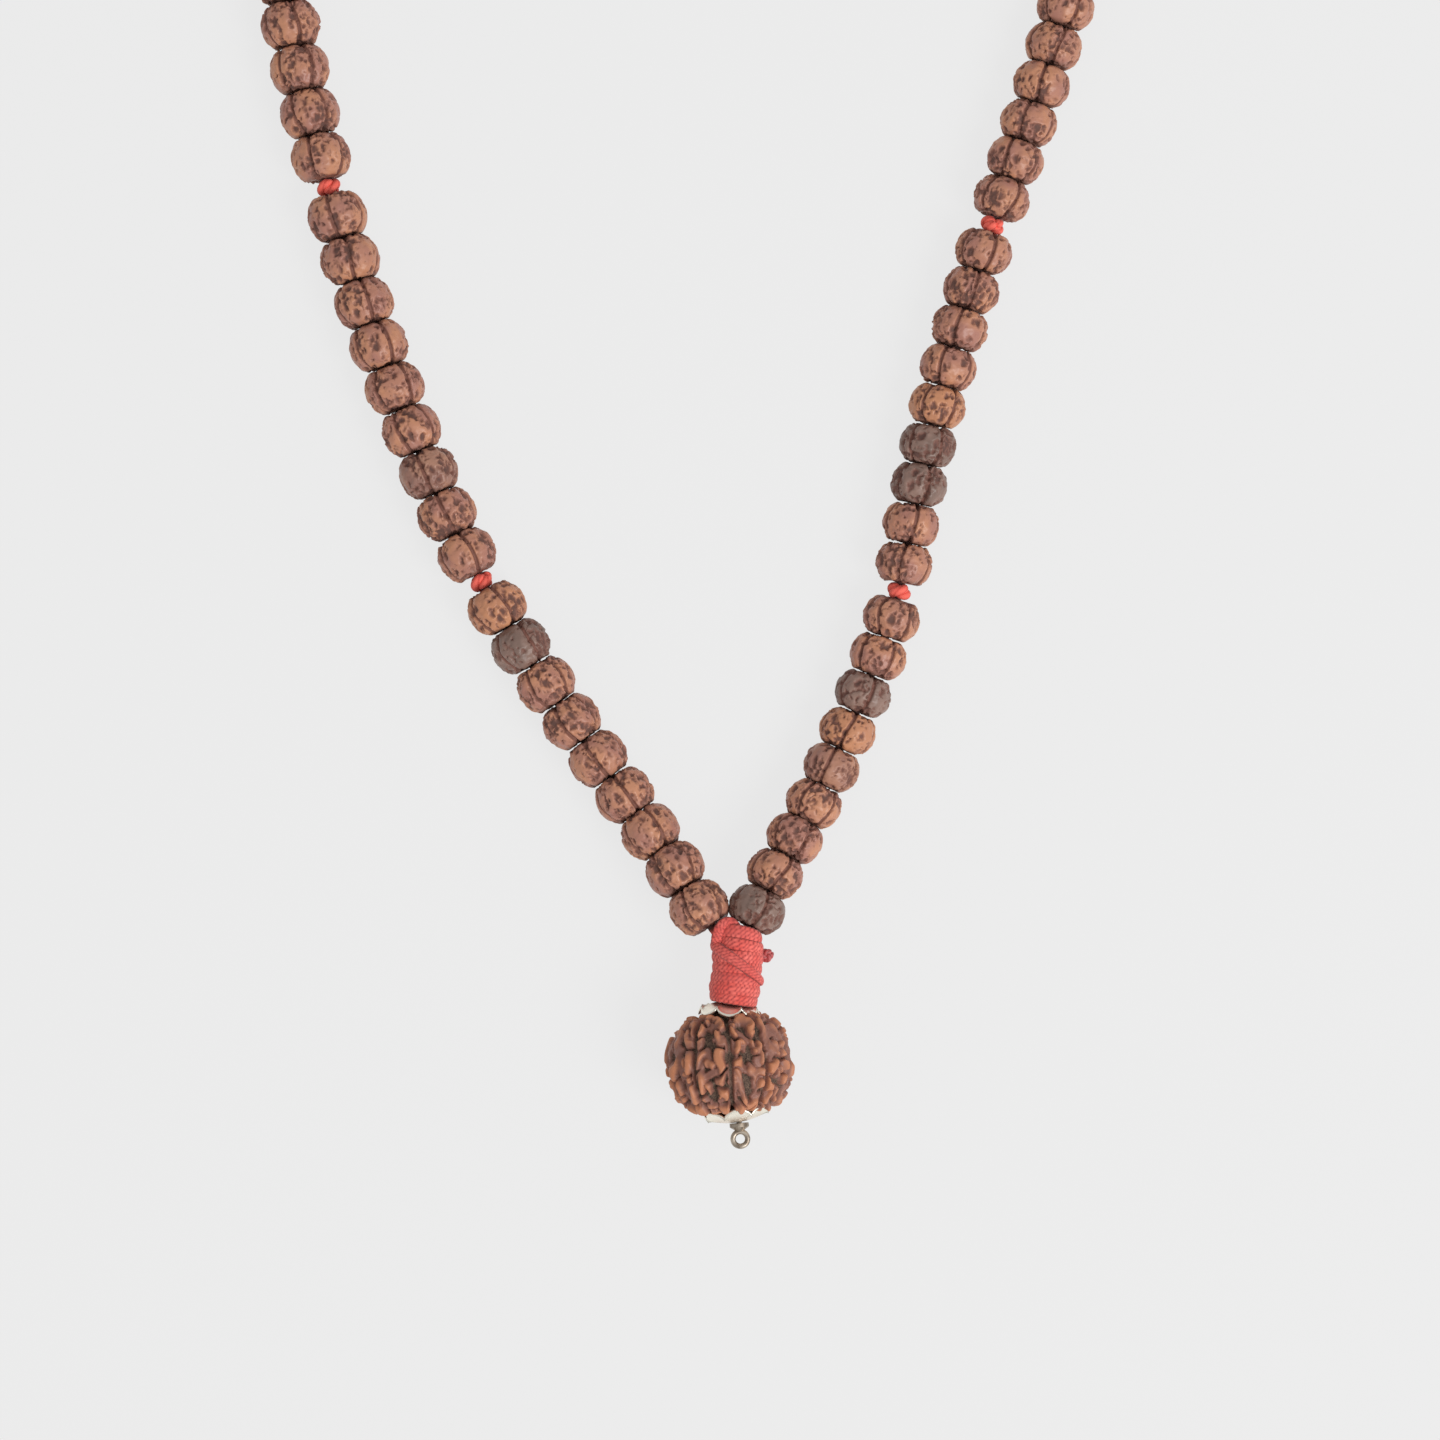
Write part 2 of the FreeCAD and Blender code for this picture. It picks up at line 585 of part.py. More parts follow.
def rounded(points, radii):
    """A closed route as runs and arcs, a list of (length, data) from the first
    corner's arc on, with each arc's radius and how far along its middle is."""
    count = len(points)
    corners = []
    for i, point in enumerate(points):
        before, after = points[i - 1] - point, points[(i + 1) % count] - point
        half_turn = (math.pi - before.getAngle(after)) / 2
        shorter = min(before.Length, after.Length)
        radius = radii.get(i, ARC_SHARE * shorter / math.tan(half_turn))
        trim = radius * math.tan(half_turn)
        inward = before / before.Length + after / after.Length
        middle = point + inward * (radius / math.cos(half_turn) / inward.Length)
        corners.append((
            point + before * (trim / before.Length), point + after * (trim / after.Length),
            middle, radius, 2 * half_turn,
        ))
    parts, stations, travelled = [], [], 0.0
    for i, (enter, leave, middle, radius, turn) in enumerate(corners):
        parts.append((radius * turn, (enter, leave, middle, radius)))
        stations.append(travelled + radius * turn / 2)
        start, end = leave, corners[(i + 1) % count][0]
        if (end - start).Length > NO_RUN:
            parts.append(((end - start).Length, (start, end)))
        travelled = sum(length for length, _ in parts)
    return parts, [corner[3] for corner in corners], stations


def point_at(parts, distance):
    """The point this far along the route."""
    for length, data in parts:
        if distance <= length:
            break
        distance -= length
    if len(data) == 2:
        return data[0] + (data[1] - data[0]) * (distance / length)
    enter, leave, middle, radius = data
    normal = (enter - middle).cross(leave - middle)
    return middle + FreeCAD.Rotation(normal, math.degrees(distance / radius)).multVec(enter - middle)


seed_order = [group for group in GROUPS for _ in range(SEEDS_PER_GROUP)]
strung = (
    sum(size(kind + "_length") + size("seed_gap") for kind in seed_order)
    + (len(GROUPS) - 1) * (size("knot_length") + size("seed_gap")) - size("seed_gap")
)
left_start = Vector(size("left_lead") - size("large_diameter") / 2, size("wrap_dome") / 2, 0)
right_start = Vector(size("small_diameter") / 2 - size("right_lead"), size("wrap_dome") / 2, 0)


def lay_cord():
    """Stretches the route until the seeds and knots just fill it.  Gives its
    parts, its radii, how far along it the first seed begins, and its length."""
    stretch = 1.0
    for _ in range(STRETCH_STEPS):
        left = arm_points(LEFT_ARM, left_start, stretch)
        right = arm_points(RIGHT_ARM, right_start, stretch)
        corners = [hook_corner(left[0], -1)] + left + right[::-1] + [hook_corner(right[0], 1)]
        parts, radii, stations = rounded(corners, {0: HOOK, len(corners) - 1: HOOK})
        first, last = stations[1], stations[-2]
        total = sum(length for length, _ in parts)
        stretch *= 1 + (strung - (last - first)) / total
    return parts, radii, first, total, stretch


route, route_radii, first_seed, cord_length, stretch = lay_cord()
print("cord: %.1f mm long, route stretched by %.4f" % (cord_length, stretch))
print("arc radii: " + ", ".join("%.1f" % radius for radius in route_radii))


def tube_walls(parts):
    """The round wall of the cord along these parts, without its two ends."""
    edges = []
    for _, data in parts:
        if len(data) == 2:
            edges.append(Part.LineSegment(*data).toShape())
            continue
        enter, leave, middle, radius = data
        inner = (enter + leave) / 2 - middle
        edges.append(Part.Arc(enter, middle + inner * (radius / inner.Length), leave).toShape())
    start = edges[0]
    section = Part.Circle(
        start.Vertexes[0].Point, start.tangentAt(start.FirstParameter), size("cord_diameter") / 2
    )
    tube = Part.Wire(edges).makePipeShell([Part.Wire(section.toShape())], True, False)
    return [face for face in tube.Faces if not isinstance(face.Surface, Part.Plane)]


def make_cord():
    """The whole ring of cord: two halves whose walls are sewn end to end."""
    half = len(route) // 2
    ring = Part.makeShell(tube_walls(route[:half]) + tube_walls(route[half:]))
    ring.sewShape()
    cord = Part.makeSolid(ring)
    swept = math.pi * (size("cord_diameter") / 2) ** 2 * cord_length
    print("cord volume %.2f, section times length %.2f" % (cord.Volume, swept))
    if abs(cord.Volume - swept) > VOLUME_ERROR * swept:
        raise RuntimeError("the cord is not one whole tube")
    return cord


# ---------------------------------------------------------------------------
# Knots: turned barrels with a hollow waist, one on the cord after each group
# ---------------------------------------------------------------------------
def make_knot():
    body = new_body("knot", "knot")
    bore, wide = size("cord_diameter") / 2 + size("knot_seat"), size("knot_diameter") / 2
    half, waist = size("knot_length") / 2, size("knot_waist")
    sketch = new_sketch(body, "knot_section")
    shoulder = Vector(wide, half / 2, 0)
    rim = Vector((bore + wide) / 2, half, 0)
    sketch.addGeometry(Part.LineSegment(Vector(bore, half, 0), Vector(bore, -half, 0)), False)
    sketch.addGeometry(Part.LineSegment(Vector(bore, -half, 0), Vector(rim.x, -half, 0)), False)
    low_shoulder, low_rim = Vector(wide, -half / 2, 0), Vector(rim.x, -half, 0)
    sketch.addGeometry(Part.LineSegment(low_rim, low_shoulder), False)
    hollow = Part.Arc(low_shoulder, Vector(wide - waist, 0, 0), shoulder)
    sketch.addGeometry(hollow, False)
    sketch.addGeometry(Part.LineSegment(shoulder, rim), False)
    sketch.addGeometry(Part.LineSegment(rim, Vector(bore, half, 0)), False)
    bind(
        sketch, Sketcher.Constraint("DistanceX", -1, 1, 0, 1, bore),
        "sizes.cord_diameter / 2 + sizes.knot_seat",
    )
    revolve(body, sketch, "knot_barrel")
    doc.recompute()
    return body


knot = make_knot()
doc.recompute()


# ---------------------------------------------------------------------------
# Stringing: every seed and knot sits on the cord, its bore along it
# ---------------------------------------------------------------------------
def on_cord(distance, length, spin):
    """Place of a piece of this length whose middle is this far along the cord."""
    low, high = point_at(route, distance - length / 2), point_at(route, distance + length / 2)
    turn = FreeCAD.Rotation(Vector(0, 0, 1), Vector(0, 0, 1), high - low, "ZXY")
    return FreeCAD.Placement((low + high) / 2, turn * FreeCAD.Rotation(Vector(0, 0, 1), spin))


def feature(name, shape, placement=None):
    piece = doc.addObject("Part::Feature", name)
    piece.Label = name
    piece.Shape = shape
    if placement is not None:
        piece.Placement = placement
    return piece


seed_places, knot_places = [], []
distance = first_seed
for index, kind in enumerate(seed_order):
    length = size(kind + "_length")
    seed_places.append((kind, on_cord(distance + length / 2, length, SEED_TURN * index)))
    distance += length + size("seed_gap")
    if (index + 1) % SEEDS_PER_GROUP == 0 and index + 1 < len(seed_order):
        length = size("knot_length")
        knot_places.append(on_cord(distance + length / 2, length, 0))
        distance += length + size("seed_gap")


def seed_shape(kind, place):
    return seed_masters[kind].Shape.transformed(place.toMatrix())


string_node = feature("string", make_cord())
knot_node = feature("knots", Part.makeCompound([
    knot.Shape.transformed(place.toMatrix()) for place in knot_places
]))
pieces = [
    string_node, knot_node, thread_wrap, tail_knot, guru, top_cap, bottom_cap, eye_pin,
]
for number in range(FREE_SEEDS):
    for side, (kind, place) in (("left", seed_places[number]), ("right", seed_places[-1 - number])):
        name = "%s_bead_%02d" % (side, number + 1)
        pieces.append(feature(name, seed_masters[kind].Shape, place))
back = seed_places[FREE_SEEDS:len(seed_places) - FREE_SEEDS]
share = len(back) // BACK_NODES
for number in range(BACK_NODES):
    group = back[number * share:(number + 1) * share]
    shapes = [seed_shape(kind, place) for kind, place in group]
    pieces.append(feature("back_beads_%d" % (number + 1), Part.makeCompound(shapes)))

# the frame's origin: under the middle of the box of everything
box = FreeCAD.BoundBox()
for piece in pieces:
    box.add(piece.Shape.optimalBoundingBox(False, False))
origin = Vector(box.Center.x, box.Center.y, box.ZMin)
for piece in pieces:
    piece.Placement = FreeCAD.Placement(-origin, FreeCAD.Rotation()) * piece.Placement
doc.recompute()

# ---------------------------------------------------------------------------
# Checks and files
# ---------------------------------------------------------------------------
for item in doc.Objects:
    if "Invalid" in item.State or "Error" in item.State:
        raise RuntimeError("%s failed: %s" % (item.Name, item.getStatusString()))
os.makedirs("parts", exist_ok=True)
for piece in pieces:
    if piece.Shape.isNull() or not piece.Shape.isValid():
        raise RuntimeError(piece.Label + " has no valid shape")
    piece.Shape.exportStep(os.path.join("parts", piece.Label + ".step"))
print("box %.1f x %.1f x %.1f mm, %d nodes" % (box.XLength, box.YLength, box.ZLength, len(pieces)))
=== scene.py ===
import json
import math

import bpy
import numpy as np
from mathutils import Matrix, Vector


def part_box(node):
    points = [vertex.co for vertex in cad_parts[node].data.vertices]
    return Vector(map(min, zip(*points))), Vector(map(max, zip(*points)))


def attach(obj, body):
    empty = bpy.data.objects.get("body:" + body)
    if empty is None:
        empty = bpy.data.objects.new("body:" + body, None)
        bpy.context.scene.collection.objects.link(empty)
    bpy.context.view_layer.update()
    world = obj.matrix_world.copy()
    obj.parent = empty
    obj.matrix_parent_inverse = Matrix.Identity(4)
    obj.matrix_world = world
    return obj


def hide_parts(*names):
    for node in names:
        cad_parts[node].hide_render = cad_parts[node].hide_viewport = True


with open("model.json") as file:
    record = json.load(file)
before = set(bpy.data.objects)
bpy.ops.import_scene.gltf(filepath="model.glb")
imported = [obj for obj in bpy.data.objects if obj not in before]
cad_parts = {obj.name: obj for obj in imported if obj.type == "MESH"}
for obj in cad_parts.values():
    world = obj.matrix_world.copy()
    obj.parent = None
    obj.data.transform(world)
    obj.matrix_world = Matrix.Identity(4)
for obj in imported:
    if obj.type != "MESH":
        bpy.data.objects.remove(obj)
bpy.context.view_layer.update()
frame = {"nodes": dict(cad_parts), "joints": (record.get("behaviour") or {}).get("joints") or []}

# ---------------------------------------------------------------------------
# Table and light.  The mala lies on a pale matt table under one wide soft lamp
# at the right and an even overhead glow, as on a studio's sweep of paper.
# ---------------------------------------------------------------------------
MM = 0.001
scene = bpy.context.scene
scene.view_settings.view_transform = "Standard"


def linear(colour):
    """An sRGB hex colour as linear red, green, blue and 1."""
    parts = [int(colour[i:i + 2], 16) / 255 for i in (1, 3, 5)]
    return [p / 12.92 if p <= 0.04045 else ((p + 0.055) / 1.055) ** 2.4 for p in parts] + [1.0]


def add(tree, kind, inputs=(), **settings):
    """Adds a node with its settings; inputs gives each socket a value or a source."""
    node = tree.nodes.new(kind)
    for name, value in settings.items():
        setattr(node, name, value)
    for key, value in dict(inputs).items():
        socket = node.inputs[key] if isinstance(key, int) else next(
            s for s in node.inputs if s.name == key and s.enabled)
        if isinstance(value, bpy.types.Node):
            value = next(s for s in value.outputs if s.enabled)
        if isinstance(value, bpy.types.NodeSocket):
            tree.links.new(value, socket)
        else:
            socket.default_value = value
    return node


def new_material(name):
    """A material with an empty tree, and that tree."""
    material = bpy.data.materials.new(name)
    material.use_nodes = True
    material.node_tree.nodes.clear()
    return material, material.node_tree


def new_object(name, mesh):
    obj = bpy.data.objects.new(name, mesh)
    scene.collection.objects.link(obj)
    return obj


MATH = "ShaderNodeMath"

# Matt coated paper: no shine, and it takes the mala's soft shadow.  The eye, and metal
# that mirrors it, see it evenly lit.
EVENLY_LIT = 0.9                 # the share of the glow in what is seen of the paper
table_paper, tree = new_material("matt_white_paper")
path = add(tree, "ShaderNodeLightPath").outputs
seen = add(tree, MATH, {0: path["Is Camera Ray"], 1: path["Is Glossy Ray"]}, operation="MAXIMUM")
seen = add(tree, MATH, {0: seen, 1: path["Is Transmission Ray"]}, operation="MAXIMUM")
paper = add(tree, "ShaderNodeBsdfDiffuse", {"Color": linear("#E4E4E4")})
glow = add(tree, "ShaderNodeEmission", {"Color": linear("#EDEDED"), "Strength": 1.0})
share = add(tree, MATH, {0: seen, 1: EVENLY_LIT}, operation="MULTIPLY")
mixed = add(tree, "ShaderNodeMixShader", {0: share, 1: paper, 2: glow})
add(tree, "ShaderNodeOutputMaterial", {"Surface": mixed})

TABLE = 3.0                      # m
bpy.ops.mesh.primitive_plane_add(size=TABLE)
table = bpy.context.object
table.name = "table"
table.data.materials.append(table_paper)

world = bpy.data.worlds.new("studio")
scene.world = world
world.use_nodes = True
backdrop = world.node_tree.nodes["Background"].inputs
backdrop["Color"].default_value = linear("#F2F2F2")
backdrop["Strength"].default_value = 0.62

pivot = Vector(next(j["pos_m"] for j in frame["joints"] if j["name"] == "pendant_swing"))
LAMP_PLACE = Vector((0.55, -0.35, 0.75))     # from the neck's pivot, m
lamp = bpy.data.lights.new("softbox", "AREA")
lamp.size = 0.5
lamp.energy = 6.0
softbox = bpy.data.objects.new("softbox", lamp)
softbox.location = pivot + LAMP_PLACE
softbox.rotation_euler = (-LAMP_PLACE).to_track_quat("-Z", "Y").to_euler()
scene.collection.objects.link(softbox)

# the camera looks straight down; the neck's pivot is right of and below its middle
VIEW_OFFSET = Vector((2.3, -34.1, 0)) * MM
VIEW_HEIGHT = 600 * MM
lens = bpy.data.cameras.new("camera")
lens.lens = 100
lens.sensor_width = 36
lens.clip_start = 0.01
camera = bpy.data.objects.new("camera", lens)
camera.location = Vector((pivot.x, pivot.y, VIEW_HEIGHT)) - VIEW_OFFSET
scene.collection.objects.link(camera)
scene.camera = camera

# ---------------------------------------------------------------------------
# Seeds of the loop: five-faced rudraksha stones, cleaned, rubbed smooth and
# oiled.  Rubbing leaves tan plateaus; the thin seams from pole to pole and the
# worm-like pits between them stay dark.
# ---------------------------------------------------------------------------


def field(tree, kind, name):
    """Reads a named attribute of the geometry."""
    return add(tree, "GeometryNodeInputNamedAttribute", {"Name": name}, data_type=kind)


def store(tree, geometry, kind, name, value):
    return add(tree, "GeometryNodeStoreNamedAttribute",
               {"Geometry": geometry, "Name": name, "Value": value}, data_type=kind, domain="POINT")


def new_ports(tree, geometry, whole, real):
    """Gives a tree its named inputs: geometry, whole numbers, real ones, a finish."""
    ports = tree.interface
    ports.new_socket(geometry, in_out="INPUT", socket_type="NodeSocketGeometry")
    for name, default in whole.items():
        ports.new_socket(name, in_out="INPUT", socket_type="NodeSocketInt").default_value = default
    for name, default in real.items():
        ports.new_socket(name, in_out="INPUT", socket_type="NodeSocketFloat").default_value = default
    ports.new_socket("Finish", in_out="INPUT", socket_type="NodeSocketMaterial")
    ports.new_socket("Geometry", in_out="OUTPUT", socket_type="NodeSocketGeometry")
    return add(tree, "NodeGroupInput").outputs


SHIFT, VECTOR = "ShaderNodeMapRange", "ShaderNodeVectorMath"
NOISE, BLEND = "ShaderNodeTexNoise", "ShaderNodeMix"
BORE_STARTS = 0.44               # the last rows of a sheet, past this, line the bore
SIDE_SPREAD = 0.62               # the share of the latitude that rows take evenly
SEAM_CROWDING = 0.4              # how much closer the columns are beside a seam


def seed_blank(tree, given):
    """A sheet wrapped round a seed and back through its bore, one at every vertex
    of the input.  Gives its mesh and the fields that place a carving on it."""
    # a unit sheet at every seed, which keeps its own two coordinates
    place = add(tree, "GeometryNodeInputPosition")
    across = add(tree, MATH, {0: given["Columns"], 1: 1}, operation="ADD")
    along = add(tree, MATH, {0: given["Rows"], 1: 1}, operation="ADD")
    sheet = add(tree, "GeometryNodeMeshGrid",
                {"Size X": 1, "Size Y": 1, "Vertices X": across, "Vertices Y": along})
    sheet = store(tree, sheet, "FLOAT_VECTOR", "sheet", place)
    centres = store(tree, given["Seeds"], "FLOAT_VECTOR", "centre", place)
    sheets = add(tree, "GeometryNodeInstanceOnPoints", {"Points": centres, "Instance": sheet})
    sheets = add(tree, "GeometryNodeRealizeInstances", {"Geometry": sheets})

    split = add(tree, "ShaderNodeSeparateXYZ", {0: field(tree, "FLOAT_VECTOR", "sheet")})
    number = field(tree, "FLOAT", "number")
    radius = add(tree, MATH, {0: field(tree, "FLOAT", "diameter"), 1: 0.5}, operation="MULTIPLY")
    half = add(tree, MATH, {0: field(tree, "FLOAT", "length"), 1: 0.5}, operation="MULTIPLY")

    # azimuth: columns are closer together near the seams
    turn = add(tree, MATH, {0: split.outputs["X"], 1: 2 * math.pi}, operation="MULTIPLY")
    wave = add(tree, MATH, {0: turn, 1: given["Faces"]}, operation="MULTIPLY")
    wave = add(tree, MATH, {0: wave}, operation="SINE")
    wave = add(tree, MATH, {0: wave, 1: given["Faces"]}, operation="DIVIDE")
    turn = add(tree, MATH, {0: wave, 1: -SEAM_CROWDING, 2: turn}, operation="MULTIPLY_ADD")
    half_face = add(tree, MATH, {0: math.pi, 1: given["Faces"]}, operation="DIVIDE")
    seam_angle = add(tree, MATH, {0: turn, 1: half_face}, operation="PINGPONG")
    from_seam = add(tree, MATH, {0: seam_angle, 1: half_face}, operation="DIVIDE")

    # latitude: the outside takes most rows, the poles few and the bore the last ones
    row = split.outputs["Y"]
    even, quick = SIDE_SPREAD * math.pi / 2, (1 - SIDE_SPREAD) * math.pi / 2
    share = add(tree, SHIFT, {"Value": row, 1: -0.5, 2: BORE_STARTS, 3: -1, 4: 1})
    steep = add(tree, MATH, {0: share, 1: 5}, operation="POWER")
    steep = add(tree, MATH, {0: steep, 1: quick}, operation="MULTIPLY")
    latitude = add(tree, MATH, {0: share, 1: even, 2: steep}, operation="MULTIPLY_ADD")
    down_bore = add(tree, SHIFT, {"Value": row, 1: BORE_STARTS, 2: 0.5, 3: 0, 4: 2})
    rise = add(tree, MATH, {0: latitude}, operation="SINE")
    reach = add(tree, MATH, {0: latitude}, operation="COSINE")
    reach = add(tree, MATH, {0: reach, 1: 0}, operation="MAXIMUM")
    poleward = add(tree, MATH, {0: rise}, operation="ABSOLUTE")
    swell = add(tree, MATH, {0: reach, 1: given["Roundness"]}, operation="POWER")
    flesh = add(tree, MATH, {0: radius, 1: given["Bore"]}, operation="SUBTRACT")
    out = add(tree, MATH, {0: swell, 1: flesh, 2: given["Bore"]}, operation="MULTIPLY_ADD")
    level = add(tree, MATH, {0: poleward, 1: given["Fullness"]}, operation="MULTIPLY")
    level = add(tree, MATH, {0: level, 1: 1, 2: 0.06}, operation="SMOOTH_MIN")
    side = add(tree, MATH, {0: rise}, operation="SIGN")
    for operation, value in (("MULTIPLY", side), ("SUBTRACT", down_bore), ("MULTIPLY", half)):
        level = add(tree, MATH, {0: level, 1: value}, operation=operation)

    # the seams wander a little on their way from pole to pole
    chance = add(tree, "ShaderNodeTexWhiteNoise", {"W": number}, noise_dimensions="1D").outputs
    swing = chance["Value"]
    swing = add(tree, MATH, {0: swing, 1: 2, 2: -1}, operation="MULTIPLY_ADD")
    swing = add(tree, MATH, {0: swing, 1: given["Wander"]}, operation="MULTIPLY")
    phase = add(tree, MATH, {0: number, 1: 2.4}, operation="MULTIPLY")
    phase = add(tree, MATH, {0: latitude, 1: 1.4, 2: phase}, operation="MULTIPLY_ADD")
    wander = add(tree, MATH, {0: phase}, operation="SINE")
    wander = add(tree, MATH, {0: wander, 1: swing}, operation="MULTIPLY")
    wander = add(tree, MATH, {0: wander, 1: reach}, operation="MULTIPLY")
    azimuth = add(tree, MATH, {0: turn, 1: wander}, operation="ADD")
    azimuth = add(tree, MATH, {0: azimuth, 1: field(tree, "FLOAT", "spin")}, operation="ADD")
    cosine = add(tree, MATH, {0: azimuth}, operation="COSINE")
    sine = add(tree, MATH, {0: azimuth}, operation="SINE")
    x = add(tree, MATH, {0: out, 1: cosine}, operation="MULTIPLY")
    y = add(tree, MATH, {0: out, 1: sine}, operation="MULTIPLY")
    blank = add(tree, "ShaderNodeCombineXYZ", {"X": x, "Y": y, "Z": level})
    spread = add(tree, VECTOR, {0: (7.1, 3.7, 11.3), "Scale": number}, operation="SCALE")
    stone = add(tree, VECTOR, {0: blank, 1: (1, 1, 0.72), 2: spread}, operation="MULTIPLY_ADD")
    reach_x = add(tree, MATH, {0: reach, 1: cosine}, operation="MULTIPLY")
    reach_y = add(tree, MATH, {0: reach, 1: sine}, operation="MULTIPLY")
    outward = add(tree, "ShaderNodeCombineXYZ", {"X": reach_x, "Y": reach_y, "Z": rise})
    seam = add(tree, MATH, {0: seam_angle, 1: out}, operation="MULTIPLY")
    strip = add(tree, MATH, {0: turn, 1: half_face}, operation="DIVIDE")
    strip = add(tree, MATH, {0: strip}, operation="FLOOR")
    return {
        "mesh": sheets, "blank": blank, "outward": outward, "stone": stone, "reach": reach,
        "poleward": poleward, "seam": seam, "from_seam": from_seam, "strip": strip, "level": level,
    }


def carved(tree, given, parts, depth, kept):
    """Cuts the blank to this depth, stores the fields that its finish reads, and
    turns every seed to its axis."""
    fade = add(tree, SHIFT, {"Value": parts["reach"], 1: 0, 2: 0.3, 3: 0, 4: 1})
    depth = add(tree, MATH, {0: depth, 1: 0}, operation="MAXIMUM")
    depth = add(tree, MATH, {0: depth, 1: fade}, operation="MULTIPLY")
    cut = add(tree, VECTOR, {0: parts["outward"], "Scale": depth}, operation="SCALE")
    place = add(tree, VECTOR, {0: parts["blank"], 1: cut}, operation="SUBTRACT")
    place = add(tree, VECTOR, {0: place, "Scale": MM}, operation="SCALE")
    aligned = add(tree, "FunctionNodeAlignRotationToVector",
                  {"Vector": field(tree, "FLOAT_VECTOR", "axis")}, axis="Z")
    place = add(tree, "FunctionNodeRotateVector", {"Vector": place, "Rotation": aligned})
    place = add(tree, VECTOR, {0: place, 1: field(tree, "FLOAT_VECTOR", "centre")}, operation="ADD")
    seeds = store(tree, parts["mesh"], "FLOAT_VECTOR", "stone", parts["stone"])
    for name, value in kept.items():
        seeds = store(tree, seeds, "FLOAT", name, value)
    seeds = add(tree, "GeometryNodeSetPosition", {"Geometry": seeds, "Position": place})
    seeds = add(tree, "GeometryNodeMergeByDistance", {"Geometry": seeds, "Distance": 1e-6})
    seeds = add(tree, "GeometryNodeSetShadeSmooth", {"Geometry": seeds})
    seeds = add(tree, "GeometryNodeRealizeInstances", {"Geometry": seeds})
    seeds = add(tree, "GeometryNodeSetMaterial", {"Geometry": seeds, "Material": given["Finish"]})
    add(tree, "NodeGroupOutput", {0: seeds})


PIT_CELLS = 0.78                 # cells a millimetre, at most one pit in each


def pit_field(tree, stone, poleward):
    """Roughly how far inside a pit a point lies, mm: small pits are scattered over
    the stone, one a cell, and knotted hollows spread near the poles."""
    bend = add(tree, NOISE, {"Vector": stone, "Scale": 1.1, "Detail": 1}).outputs["Color"]
    bend = add(tree, VECTOR, {0: bend, 1: (0.9, 0.9, 0.9), 2: stone}, operation="MULTIPLY_ADD")
    cell = add(tree, "ShaderNodeTexVoronoi", {"Vector": bend, "Scale": PIT_CELLS}).outputs
    size = add(tree, "ShaderNodeSeparateXYZ", {0: cell["Color"]}).outputs["X"]
    size = add(tree, SHIFT, {"Value": size, 1: 0.06, 2: 1, 3: 0.08, 4: 0.7})
    apart = add(tree, MATH, {0: cell["Distance"], 1: -1 / PIT_CELLS, 2: size}, operation="MULTIPLY_ADD")
    knotted = add(tree, NOISE, {"Vector": stone, "Scale": 1.2, "Detail": 1.5, "Distortion": 0.3})
    broad = add(tree, NOISE, {"Vector": stone, "Scale": 0.3, "Detail": 0})
    steep = add(tree, MATH, {0: poleward, 1: 4}, operation="POWER")
    bar = add(tree, MATH, {0: steep, 1: 0.08, 2: 0.18}, operation="MULTIPLY_ADD")
    bar = add(tree, MATH, {0: broad, 1: 0.46, 2: bar}, operation="MULTIPLY_ADD")
    knot = add(tree, MATH, {0: bar, 1: knotted}, operation="SUBTRACT")
    knot = add(tree, MATH, {0: knot, 1: 2.2}, operation="MULTIPLY")
    return add(tree, MATH, {0: apart, 1: knot}, operation="MAXIMUM")


def rubbed_carver():
    """A tree that carves rubbed seeds: smooth seams and pits in a round stone."""
    tree = bpy.data.node_groups.new("carve rubbed seeds", "GeometryNodeTree")
    given = new_ports(tree, "Seeds", {"Columns": 140, "Rows": 70}, {
        "Faces": 5.0, "Bore": 0.75, "Roundness": 0.95, "Fullness": 1.2, "Wander": 0.14,
        "Seam width": 0.44, "Seam depth": 0.36, "Pit depth": 0.34, "Valley depth": 0.16,
        "Lump depth": 0.4, "Grain depth": 0.45, "Left standing": 0.36,
    })
    parts = seed_blank(tree, given)
    stone, seam = parts["stone"], parts["seam"]
    pit = pit_field(tree, stone, parts["poleward"])
    pits = add(tree, SHIFT, {"Value": pit, 1: -0.12, 2: 0.22, 3: 0, 4: 1},
               interpolation_type="SMOOTHSTEP")
    groove = add(tree, SHIFT, {"Value": seam, 1: 0.06, 2: given["Seam width"], 3: 1, 4: 0},
                 interpolation_type="SMOOTHSTEP")
    valley = add(tree, MATH, {0: 1, 1: parts["from_seam"]}, operation="SUBTRACT")
    valley = add(tree, MATH, {0: valley, 1: 3}, operation="POWER")
    lumps = add(tree, NOISE, {"Vector": stone, "Scale": 0.5, "Detail": 1})
    grain = add(tree, NOISE, {"Vector": stone, "Scale": 1.3, "Detail": 1})

    depth = add(tree, MATH, {0: groove, 1: given["Seam depth"]}, operation="MULTIPLY")
    depth = add(tree, MATH, {0: pits, 1: given["Pit depth"], 2: depth}, operation="MULTIPLY_ADD")
    depth = add(tree, MATH, {0: valley, 1: given["Valley depth"], 2: depth}, operation="MULTIPLY_ADD")
    depth = add(tree, MATH, {0: lumps, 1: given["Lump depth"], 2: depth}, operation="MULTIPLY_ADD")
    depth = add(tree, MATH, {0: grain, 1: given["Grain depth"], 2: depth}, operation="MULTIPLY_ADD")
    depth = add(tree, MATH, {0: depth, 1: given["Left standing"]}, operation="SUBTRACT")
    carved(tree, given, parts, depth, {"seam": seam, "poleward": parts["poleward"]})
    return tree


